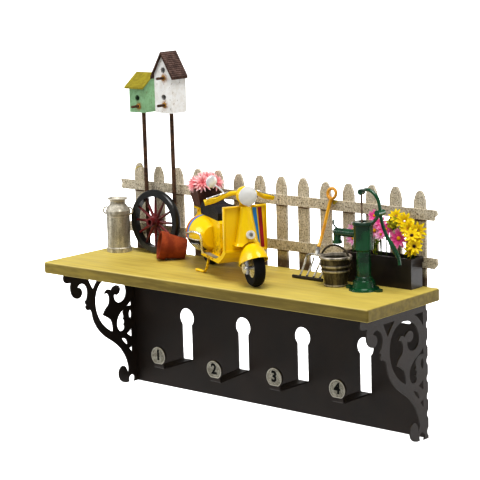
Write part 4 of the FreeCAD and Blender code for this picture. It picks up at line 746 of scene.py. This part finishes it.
def stud(mesh, centre, axis, radius, height, sides=16):
    """A low round head on a surface."""
    turn = Vector(axis).to_track_quat("Z", "Y").to_matrix().to_4x4()
    spot = Matrix.Translation(centre) @ turn
    rims = [(radius, 0.0), (radius, 0.55 * height), (0.7 * radius, 0.9 * height), (0.3 * radius, height)]
    rings = [[mesh.verts.new(spot @ Vector((r * math.cos(a), r * math.sin(a), h)))
              for a in (2 * math.pi * n / sides for n in range(sides))] for r, h in rims]
    for first, second in zip(rings, rings[1:]):
        join_rings(mesh, first, second)
    mesh.faces.new(rings[0][::-1])
    mesh.faces.new(rings[-1])


def round_path(centre, radius, count, flat="y"):
    """Points of a circle that faces the front (flat y) or the scooter's nose (flat x)."""
    x, y, z = centre
    points = []
    for a in (2 * math.pi * n / count for n in range(count)):
        side, rise = radius * math.cos(a), radius * math.sin(a)
        points.append((x + side, y, z + rise) if flat == "y" else (x, y + side, z + rise))
    return points


print("drawing tools ready")

# %% [markdown]
# Each badge is a stone-grey print with a pale rim and a black digit. A picture could carry the print, but
# it would blur close up. So the digits are real shapes from Blender's own font, thickened and set a hair
# proud of the badge.

# %% Badges and digits
DIGIT_HEIGHT = 12.4
DIGIT_SWELL = 0.34
DIGIT_DEPTH = 0.12
PROUD = 0.22
RIM_RADIUS = 7.5
RIM_DROP = 0.55
RIM_WIRE = 0.32


def badge_stone():
    paint = Paint("badge_paint", roughness=0.5)
    grains, blotches = paint.speckle(1100.0, 300.0)
    base = paint.blend(blotches, rgb(138, 134, 120), rgb(182, 178, 164))
    base = paint.blend(paint.span(grains, 0.3, 0.9, 0.0, 0.8), base, rgb(92, 88, 76))
    return paint.colour(base).material


STONE = badge_stone()
INK = soft_black("badge_ink", rgb(2, 2, 2), rgb(8, 7, 6), 0.9)
dress(STONE, *["number_badge_%d" % n for n in range(1, 5)])
RIM = enamel("badge_rim", rgb(198, 194, 182), rgb(214, 210, 200), 0.5, 0.0, 0.8)


def digit(number, tilt):
    """A digit as a thin solid on the front of its badge, inside a raised rim."""
    low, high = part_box("number_badge_%d" % number)
    text = bpy.data.curves.new("digit_%d" % number, "FONT")
    text.body = str(number)
    text.size = DIGIT_HEIGHT * MM
    text.align_x = "CENTER"
    text.align_y = "CENTER"
    text.offset = DIGIT_SWELL * MM
    text.extrude = DIGIT_DEPTH * MM
    centre = (low + high) / 2 - Vector((0, PROUD * MM, 0))
    stand = Matrix.Translation(centre) @ Matrix.Rotation(math.radians(90 + tilt), 4, "X")
    holder = bpy.data.objects.new("digit_curve", text)
    scene.collection.objects.link(holder)
    bpy.context.view_layer.update()
    data = bpy.data.meshes.new_from_object(holder.evaluated_get(bpy.context.evaluated_depsgraph_get()))
    data.transform(stand)
    bpy.data.objects.remove(holder)
    data.materials.clear()
    link("badge_digit_%d" % number, data, INK)
    arc = [math.radians(-58 + 296 * n / 40) for n in range(41)]
    track = [(RIM_RADIUS * math.cos(a), RIM_RADIUS * math.sin(a) - RIM_DROP, 0) for a in arc]
    piece("badge_rim_%d" % number, RIM, lambda mesh: wire(mesh, track, RIM_WIRE, 6, True),
          Matrix.Scale(1 / MM, 4) @ stand @ Matrix.Scale(MM, 4))


for number, tilt in enumerate((0, 4, 0, 0), 1):
    digit(number, tilt)
print("badges numbered")

# %% [markdown]
# The white house has thirteen rows of thin shingles on each slope. Each row laps over the one below and
# is split by narrow gaps. A bump map would keep the roof's edge straight. Real slabs give it the ragged
# outline, and their widths are drawn by lot from a fixed seed.

# %% Shingles
ROOF = rust("shingle_brown", rgb(92, 72, 66), rgb(124, 100, 92))
ROWS = 13
FIRST_ROW = 0.4
LAP = 0.4
GAP = 0.12


def shingles(mesh):
    low, high = (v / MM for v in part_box("white_house_roof"))
    middle = (low.x + high.x) / 2
    steep = (high.z - low.z - 2.2) / (high.x - middle)
    rng = random.Random(5)
    for side in (-1, 1):
        down = Vector((side, 0, -steep)).normalized()
        out = Vector((side * steep, 0, 1)).normalized()
        length = (high.x - middle) / down.x * side
        for row in range(ROWS):
            start = FIRST_ROW + row * (length - 0.5) / ROWS
            stop = FIRST_ROW + (row + 1) * (length - 0.5) / ROWS
            y = low.y + 0.1
            while y < high.y - 0.6:
                wide = min(rng.uniform(2.6, 4.0), high.y - 0.1 - y)
                tail = stop + rng.uniform(-0.12, 0.12)
                top = Vector((middle, 0, high.z)) - out * 0.05
                a = top + down * start - out * 0.12
                b = top + down * tail + out * LAP
                c = top + down * tail - out * 0.2
                d = top + down * start - out * 0.3
                corners = [Vector((p.x, y, p.z)) for p in (a, b, c, d)]
                slab(mesh, corners, (0, wide - GAP, 0))
                y += wide


piece("white_roof_shingles", ROOF, shingles, smooth=False)
print("rows of shingles:", ROWS)

# %% [markdown]
# Each picket is nailed to both rails. The heads are small and a little off the middle, as a quick hand
# leaves them. Their places follow the boxes of the CAD sticks, so they stay right if the fence changes.

# %% Fence nails
def nails(mesh):
    """Nail heads where the rails cross the pickets."""
    for number, picket in enumerate(PICKETS, 1):
        low, high = (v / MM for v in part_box(picket))
        for rail in RAILS:
            foot, head = (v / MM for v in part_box(rail))
            across = (low.x + high.x) / 2 + (number * 3 % 4 - 1.5) * 0.5
            middle = (foot.z + head.z) / 2 + (number * 5 % 3 - 1) * 0.6
            stud(mesh, (across, foot.y + 0.05, middle), (0, -1, 0), 0.55, 0.25, 8)


NAIL = rust("nail_iron", rgb(58, 46, 38), rgb(84, 68, 56))
piece("fence_nails", NAIL, nails)
print("nails:", len(PICKETS) * len(RAILS))

# %% [markdown]
# Silk flowers come next. A petal's colour runs from its throat to its tip, so each petal carries a UV
# strip: U runs along it, and V is one random shade for the whole petal. A little light passes through.

# %% Petal paint
def petal_paint(name, throat, middle, tip, roughness=0.55):
    paint = Paint(name, roughness=roughness, specular=0.3)
    tree = paint.tree
    uv = tree.nodes.new("ShaderNodeTexCoord").outputs["UV"]
    along, shade = split(tree, uv)[0], split(tree, uv)[1]
    base = paint.blend(paint.span(along, 0.0, 0.35), throat, middle)
    base = paint.blend(paint.span(along, 0.45, 1.0), base, tip)
    veins = paint.noise(900.0, detail=2.0)
    base = paint.blend(paint.both(paint.span(veins, 0.35, 0.65), 0.25), base, throat)
    base = paint.blend(paint.both(shade, 0.35), base, middle)
    paint.shader.inputs["Subsurface Weight"].default_value = 0.15
    paint.shader.inputs["Subsurface Radius"].default_value = (0.002, 0.001, 0.001)
    paint.shader.inputs["Subsurface Scale"].default_value = 0.5
    return paint.colour(base).bump(veins, 0.2, 0.0002).material


PINK = petal_paint("petal_pink", rgb(214, 20, 112), rgb(240, 84, 164), rgb(252, 176, 216))
PALE = petal_paint("petal_pale", rgb(230, 90, 166), rgb(248, 168, 208), rgb(255, 234, 242))
SUN = petal_paint("petal_yellow", rgb(196, 128, 0), rgb(246, 214, 0), rgb(255, 238, 10))
ROSE = petal_paint("petal_rose", rgb(222, 84, 96), rgb(246, 158, 164), rgb(255, 232, 228))
LEAF = petal_paint("leaf_green", rgb(70, 96, 14), rgb(120, 150, 28), rgb(184, 196, 60))
LIME = petal_paint("bud_green", rgb(120, 132, 10), rgb(176, 182, 30), rgb(222, 214, 60))
STEM = petal_paint("stem_green", rgb(58, 84, 22), rgb(84, 116, 30), rgb(110, 140, 40))
YOLK = petal_paint("heart_yellow", rgb(232, 170, 0), rgb(244, 194, 10), rgb(250, 216, 60), 0.8)
COCOA = petal_paint("heart_dark", rgb(50, 20, 14), rgb(74, 30, 18), rgb(96, 42, 22), 0.8)
SOIL = rust("soil_dark", rgb(20, 15, 12), rgb(38, 29, 23))
print("petal colours mixed")

# %% [markdown]
# A petal is a narrow creased leaf of eight faces, and a bloom is one or more rings of petals round a low
# domed heart. Particles or instances would be quicker for a meadow. For a few dozen heads, plain meshes
# are simpler and export as they are.

# %% Petals and blooms
def petal(mesh, base, out, up, length, width, lift, droop, rng):
    """One petal from base towards out; lift raises it, droop bends its tip back down."""
    uv = mesh.loops.layers.uv.active
    side = out.cross(up).normalized()
    shade = rng.random()
    spread = (0.35, 0.8, 1.0, 0.85, 0.3)
    rows = []
    for k, wide in enumerate(spread):
        t = k / 4
        spine = base + out * length * t + up * (length * (lift * t - droop * t * t))
        half = side * width * 0.5 * wide
        crease = up * width * 0.14 * wide
        rows.append([mesh.verts.new(spot) for spot in (spine - half, spine - crease, spine + half)])
    for k in range(4):
        for n in range(2):
            face = mesh.faces.new((rows[k][n], rows[k][n + 1], rows[k + 1][n + 1], rows[k + 1][n]))
            for loop, t in zip(face.loops, (k, k, k + 1, k + 1)):
                loop[uv].uv = (t / 4, shade)


def bloom(mesh, centre, facing, rings, rng, start=0.6):
    """Rings of petals; a ring is (count, length, width, lift, droop)."""
    facing = Vector(facing).normalized()
    side = facing.orthogonal().normalized()
    other = facing.cross(side)
    for number, (count, length, width, lift, droop) in enumerate(rings):
        for k in range(count):
            angle = 2 * math.pi * (k + 0.5 * number + rng.uniform(-0.18, 0.18)) / count
            out = side * math.cos(angle) + other * math.sin(angle)
            base = Vector(centre) + out * start - facing * 0.25 * number
            petal(mesh, base, out, facing, length * rng.uniform(0.88, 1.06), width * rng.uniform(0.85, 1.1),
                  lift + rng.uniform(-0.08, 0.08), droop + rng.uniform(-0.06, 0.06), rng)


print("petals ready")

# %% [markdown]
# The trough holds pink and yellow daisies. Each head is given as x, height above the board, radius and y,
# close to the blossoms of the CAD model. The heads look to the front and right, each with its own small
# sway.

# %% Trough blooms
TROUGH = {
    "pink": [(128.4, 43.0, 7.4, -13.5), (142.4, 37.8, 8.4, -15.5),
             (116.8, 52.4, 5.6, -11.5), (123.0, 47.5, 5.6, -11.5)],
    "pale": [(117.8, 41.2, 7.8, -13.0), (97.0, 40.4, 5.4, -12.0),
             (96.6, 33.0, 5.8, -13.0), (123.6, 38.4, 5.2, -12.5)],
    "yellow": [(137.4, 54.0, 5.4, -11.5), (146.0, 51.0, 7.4, -12.5), (150.6, 45.6, 7.6, -13.5),
               (158.2, 44.8, 6.8, -12.5), (156.6, 38.6, 6.4, -12.5), (153.6, 33.4, 6.0, -13.0),
               (152.6, 28.6, 5.4, -14.5), (147.0, 46.0, 5.6, -11.0)],
    "dark": [(156.6, 41.6, 6.6, -18.0), (158.8, 33.6, 6.6, -18.6)],
}
LOOK = Vector((0.55, -0.8, 0.25))


def trough_blooms(kind, rings, hearts=False):
    """Draws one kind's petals, or its hearts; rings are shares of each head's radius."""
    def draw(mesh):
        rng = random.Random(kind)
        for x, height, radius, y in TROUGH[kind]:
            sway = Vector((rng.uniform(-0.35, 0.35), rng.uniform(-0.2, 0.2), rng.uniform(-0.3, 0.35)))
            facing = (LOOK + sway).normalized()
            centre = Vector((x, y, DECK + height)) + facing * 0.5
            if hearts:
                stud(mesh, centre - facing * 0.3, facing, 0.19 * radius, 0.16 * radius, 14)
            else:
                sized = [(count, length * radius, width * radius, *bend)
                         for count, length, width, *bend in rings]
                bloom(mesh, centre, facing, sized, rng)
    return draw


WIDE = [(9, 0.9, 0.34, 0.2, 0.14), (8, 0.74, 0.3, 0.4, 0.10)]
NARROW = [(9, 0.95, 0.36, 0.2, 0.18), (8, 0.75, 0.34, 0.45, 0.1), (5, 0.4, 0.3, 0.8, 0.1)]
pieces = [piece("trough_pink", PINK, trough_blooms("pink", WIDE)),
          piece("trough_pale", PALE, trough_blooms("pale", WIDE)),
          piece("trough_yellow", SUN, trough_blooms("yellow", NARROW)),
          piece("trough_pink_hearts", YOLK, trough_blooms("pink", WIDE, True)),
          piece("trough_pale_hearts", YOLK, trough_blooms("pale", WIDE, True)),
          piece("trough_dark_eyed", SUN, trough_blooms("dark", NARROW[:2])),
          piece("trough_dark_hearts", COCOA, trough_blooms("dark", NARROW, True))]
print("heads in the trough:", sum(len(heads) for heads in TROUGH.values()))

# %% [markdown]
# Under the heads go bent stems, loose leaves, pale green buds and rough soil. All of them, with the
# blooms, take the place of the rounded stand-in of the CAD model, which is then hidden.

# %% Stems, leaves and soil
def trough_stems(mesh):
    rng = random.Random(11)
    for kind in TROUGH.values():
        for x, height, _, y in kind:
            foot = Vector((min(max(x, 100), 150) + rng.uniform(-2, 2), -13 + rng.uniform(-2, 2), DECK + 15))
            head = Vector((x, y, DECK + height)) - LOOK * 0.6
            lean = (foot + head) / 2 + Vector((rng.uniform(-2, 2), rng.uniform(-1, 1), 1.5))
            track = [foot.lerp(lean, t).lerp(lean.lerp(head, t), t) for t in (0, 0.25, 0.5, 0.75, 1)]
            wire(mesh, track, 0.42, 6)


def leaves(mesh, groups, seed):
    """Leaves in groups: how many, between which x, and how high above the board."""
    rng = random.Random(seed)
    for count, across, heights in groups:
        for _ in range(count):
            base = Vector((rng.uniform(*across), rng.uniform(-13, -10), DECK + rng.uniform(*heights)))
            out = Vector((rng.uniform(-0.7, 0.7), rng.uniform(-0.7, 0.1), rng.uniform(0.1, 1.0))).normalized()
            front = Vector((0.3, -0.9, 0.3)).normalized()
            petal(mesh, base, out, front, rng.uniform(3.6, 6), rng.uniform(1.6, 2.6), 0.2, 0.3, rng)


LEAF_GROUPS = [(6, (131, 142), (40, 46)), (6, (116, 120), (19, 32)),
               (4, (136, 139), (19, 26)), (5, (151, 156), (20, 27))]
BUD_GROUPS = [(26, (132, 142), (43, 51)), (5, (116, 119), (22, 30))]
SOIL_LEVEL = DECK + 17.6


def soil(mesh):
    """Loose dark soil with a rough top, between the trough's inner walls."""
    rng = random.Random(8)
    across, deep = 30, 8
    left, width, front, depth = 95.5, 60.0, -18.7, 11.2

    def clod(n, m):
        height = SOIL_LEVEL + rng.uniform(-0.9, 0.9)
        return mesh.verts.new((left + width * n / across, front + depth * m / deep, height))

    grid = [[clod(n, m) for m in range(deep + 1)] for n in range(across + 1)]
    for n in range(across):
        for m in range(deep):
            mesh.faces.new((grid[n][m], grid[n + 1][m], grid[n + 1][m + 1], grid[n][m + 1]))


pieces += [piece("trough_stems", STEM, trough_stems),
           piece("trough_leaves", LEAF, lambda mesh: leaves(mesh, LEAF_GROUPS, 3)),
           piece("trough_buds", LIME, lambda mesh: leaves(mesh, BUD_GROUPS, 5)),
           piece("trough_soil", SOIL, soil, smooth=False)]
for item in pieces:
    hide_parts("planter_flowers")
print("trough pieces:", len(pieces))

# %% [markdown]
# The scooter's basket overflows with rose-pink chrysanthemums whose long thin petals hang over the rim.
# Eight heads of four rings each are drawn in the scooter's own frame, and leaves and a dark filling close
# the gaps between them.

# %% Basket flowers
def basket_blooms(mesh):
    rng = random.Random(21)
    heads = [((-13, 0, 71), (0.3, -0.2, 1)), ((-3, -5, 68), (0.9, -0.3, 0.7)),
             ((-3, 7, 68), (0.8, 0.5, 0.7)), ((-21, -7, 67), (-0.3, -0.8, 0.8)),
             ((-22, 7, 67), (-0.7, 0.7, 0.6)), ((-12, -9, 66.5), (0.3, -1, 0.6)),
             ((-6, 0, 71), (0.8, -0.4, 0.9)), ((-17, 8, 70), (0, 0.6, 0.8))]
    rings = [(14, 8.2, 2.0, 0.15, 0.32), (12, 6.8, 1.9, 0.5, 0.28),
             (9, 5.0, 1.7, 1.0, 0.2), (5, 3.2, 1.4, 1.6, 0.1)]
    for centre, facing in heads:
        bloom(mesh, centre, facing, rings, rng, 0.4)


def basket_leaves(mesh):
    rng = random.Random(6)
    for _ in range(34):
        angle = rng.uniform(0, 2 * math.pi)
        base = Vector((-13 + 7.5 * math.cos(angle), 5.5 * math.sin(angle), rng.uniform(60.5, 63)))
        out = Vector((math.cos(angle), math.sin(angle), rng.uniform(0.0, 0.9))).normalized()
        petal(mesh, base, out, Vector((0, 0, 1)), rng.uniform(4, 7), rng.uniform(1.8, 2.8), 0.2, 0.3, rng)


def basket_filling(mesh):
    stud(mesh, (-13, 0, 58), (0, 0, 1), 8.6, 3.6)


for item in (piece("basket_blooms", ROSE, basket_blooms, SCOOTER),
             piece("basket_leaves", LEAF, basket_leaves, SCOOTER),
             piece("basket_filling", SOIL, basket_filling, SCOOTER)):
    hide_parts("scooter_flowers")
print("basket filled")

# %% [markdown]
# Two stripes run down the scooter's shield, and a blue and an orange band circle the tail of each cowl.
# Low on each cowl sits a dark grille with bright slats. A cowl is a half ellipsoid, so one formula gives
# any point on its skin, and bands, grille and slats all lie on it.

# %% Stripes and grilles
SHIELD_FRONT = 83.55
COWL_MIDDLE, COWL_HALF = 8, 26
COWL_ROOT, COWL_BULGE = 7.6, 14.8
COWL_WAIST, COWL_RISE = 28.2, 15
BLUE = enamel("stripe_blue", rgb(10, 124, 214), rgb(40, 150, 236), 0.35, 0.2, 0.2)
CRIMSON = enamel("stripe_red", rgb(150, 0, 24), rgb(178, 8, 38), 0.35, 0.2, 0.2)
ORANGE = enamel("stripe_orange", rgb(214, 84, 6), rgb(234, 106, 14), 0.35, 0.2, 0.2)
GRILLE = soft_black("grille_dark", rgb(22, 20, 18), rgb(44, 40, 34), 0.7)


def shield_stripe(top, bottom, low, high=59.2):
    """A band on the shield; top and bottom each give its two edges to the side, low and high its ends."""
    edges = [(top[0], high), (top[1], high), (bottom[1], low), (bottom[0], low)]
    return lambda mesh: slab(mesh, [(SHIELD_FRONT, y, z) for y, z in edges], (0.25, 0, 0))


BLUE_STRIPE = shield_stripe((6.4, 9.5), (9.4, 12.2), 28.4)
RED_STRIPE = shield_stripe((10.8, 14.0), (12.9, 15.8), 27.0)
piece("shield_stripe_blue", BLUE, BLUE_STRIPE, SCOOTER, False)
piece("shield_stripe_red", CRIMSON, RED_STRIPE, SCOOTER, False)


def on_cowl(x, angle, side, proud):
    """A point on a cowl's surface, at a station x and an angle above its waist."""
    size = math.sqrt(max(0.0, 1 - ((x - COWL_MIDDLE) / COWL_HALF) ** 2))
    reach = COWL_ROOT + (COWL_BULGE + proud) * size * math.cos(angle)
    return Vector((x, side * reach, COWL_WAIST + (COWL_RISE + proud) * size * math.sin(angle)))


def cowl_patch(xs, angles, proud):
    """A thin skin over both cowls between two stations and two angles."""
    def draw(mesh):
        for side in (-1, 1):
            stations = [xs[0] + (xs[1] - xs[0]) * n / 8 for n in range(9)]
            turns = [math.radians(angles[0] + (angles[1] - angles[0]) * m / 24) for m in range(25)]
            grid = [[mesh.verts.new(on_cowl(x, angle, side, proud)) for angle in turns] for x in stations]
            faces = [mesh.faces.new((grid[n][m], grid[n + 1][m], grid[n + 1][m + 1], grid[n][m + 1]))
                     for n in range(8) for m in range(24)]
            bmesh.ops.recalc_face_normals(mesh, faces=faces)
    return draw


piece("cowl_band_blue", BLUE, cowl_patch((5.4, 8.6), (-8, 86), 0.16), SCOOTER)
piece("cowl_band_orange", ORANGE, cowl_patch((1.6, 5.2), (-14, 76), 0.16), SCOOTER)
piece("cowl_grille", GRILLE, cowl_patch((6.0, 25.0), (-66, -10), 0.12), SCOOTER)


def slats(mesh):
    for side in (-1, 1):
        for n in range(5):
            x = 12.5 + 2.4 * n
            track = [on_cowl(x + 0.05 * m, math.radians(-24 - 5.5 * m), side, 0.35) for m in range(7)]
            wire(mesh, track, 0.5, 8)
        lip = [on_cowl(7 + 2.0 * m, math.radians(-9 - 0.4 * m), side, 0.3) for m in range(10)]
        wire(mesh, lip, 0.45, 8)


piece("cowl_slats", CHROME, slats, SCOOTER)
print("stripes, bands and grilles on")

# %% [markdown]
# Two brake levers taper towards their round ends, a wide shell backs the mirror, a bezel rings the
# headlamp, and grey mats lie on the floor boards. All are drawn in the scooter's own frame: x to its
# nose, y to its left, z up.

# %% Levers, mirror, bezel and mats
MAT = soft_black("floor_mat", rgb(120, 116, 104), rgb(156, 150, 136), 0.7)
LEVER_RADII = [0.7, 0.6, 0.55, 0.8]
LEVER_TRACKS = [[(78.5, -11.5, 71.8), (76.4, -18, 70.0), (74.0, -25, 67.8), (73.6, -27.6, 67.0)],
                [(79.0, 12.5, 71.2), (77.0, 19, 68.6), (74.6, 27, 65.9), (74.2, 29.8, 65.3)]]
MIRROR_CENTRE = (72.4, -22.9, 80.4)
LAMP_FRONT = (90.6, 0.6, 69.4)


def levers(mesh):
    for track in LEVER_TRACKS:
        wire(mesh, track, LEVER_RADII, 10)


def mirror_shell(mesh):
    stud(mesh, MIRROR_CENTRE, (1, 0.25, -0.1), 4.9, 1.8, 32)


def bezel(mesh):
    wire(mesh, round_path(LAMP_FRONT, 7.1, 48, "x"), 0.5, 8, True)


def mats(mesh):
    for side in (-1, 1):
        outline = [(25, 15.2), (52, 15.2), (54, 13.6), (54, 10.6), (25, 10.6)]
        slab(mesh, [(x, side * y, 15) for x, y in outline], (0, 0, 0.35))


piece("brake_levers", CHROME, levers, SCOOTER)
piece("mirror_shell", MIRROR, mirror_shell, SCOOTER)
piece("lamp_bezel", WHITE, bezel, SCOOTER)
piece("floor_mats", MAT, mats, SCOOTER, False)
print("levers, mirror, bezel and mats fitted")

# %% [markdown]
# Hexagon bolts hold the pump's foot, and golden-brown collars sit where the perches leave the bird
# houses. They could be dark or bright spots in the paint, but raised shapes keep their shadow from every
# side.

# %% Bolts and collars
PUMP_PLACE = (126, -38.3)
PERCH_ROOTS = [(-127.6, -16.6, 156.0), (-96.0, -17.9, 158.4), (-96.0, -17.9, 181.2)]
BRASS = rust("collar_brown", rgb(156, 112, 44), rgb(196, 150, 74))


def pump_bolts(mesh):
    for x in (-14.4, 14.4):
        stud(mesh, (PUMP_PLACE[0] + x, PUMP_PLACE[1], DECK + 1.4), (0, 0, 1), 1.5, 1.1, 6)


def collars(mesh):
    for root in PERCH_ROOTS:
        wire(mesh, round_path(root, 1.7, 24), 0.6, 8, True)


piece("pump_bolts", PUMP, pump_bolts, smooth=False)
piece("perch_collars", BRASS, collars)
print("collars:", len(PERCH_ROOTS))

# %% [markdown]
# The horn has a small grey mouth, and a raised lip runs along both sides of the shield. The lip is a thin
# round wire, because the light then catches it along its whole length, as on pressed sheet.

# %% Horn and shield lip
LIP_X, LIP_SIDE, LIP_TOP = 84.4, 17.2, 60.2
horn_low, horn_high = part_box("scooter_horn")
HORN_FRONT = SCOOTER.inverted() @ ((horn_low + horn_high) / 2 / MM) + Vector((1.6, 0, 0))


def horn_mouth(mesh):
    stud(mesh, HORN_FRONT, (1, 0, 0), 1.1, 0.3)


def shield_lip(mesh):
    for side in (-1, 1):
        corners = [(LIP_SIDE, 27), (LIP_SIDE, LIP_TOP), (4.6, LIP_TOP)]
        wire(mesh, [(LIP_X, side * y, z) for y, z in corners], 0.75, 8)


piece("horn_mouth", MAT, horn_mouth, SCOOTER)
piece("shield_lip", YELLOW, shield_lip, SCOOTER)
print("scooter finished")

# %% [markdown]
# Yellow paint has dripped on the fence: two round drops on the upper rail and a run over the first
# picket's tip. The run is a wire that swells in the middle and thins out at its ends, as wet paint does.

# %% Drops of paint
RUN = [(-148.4, -2.2, 98.6), (-145.4, -2.3, 100.6), (-142.0, -2.3, 101.9), (-140.2, -2.2, 101.6)]
RUN_RADII = [0.3, 0.55, 0.5, 0.25]
OCHRE = enamel("dropped_paint", rgb(176, 158, 30), rgb(206, 182, 44), 0.4, 0.2, 0.0)


def drops(mesh):
    stud(mesh, (72.4, -4.6, 87.8), (0, -1, 0), 1.7, 0.7)
    stud(mesh, (74.6, -4.6, 88.6), (0, -1, 0), 0.9, 0.4)
    wire(mesh, RUN, RUN_RADII, 8)


piece("paint_drops", OCHRE, drops)
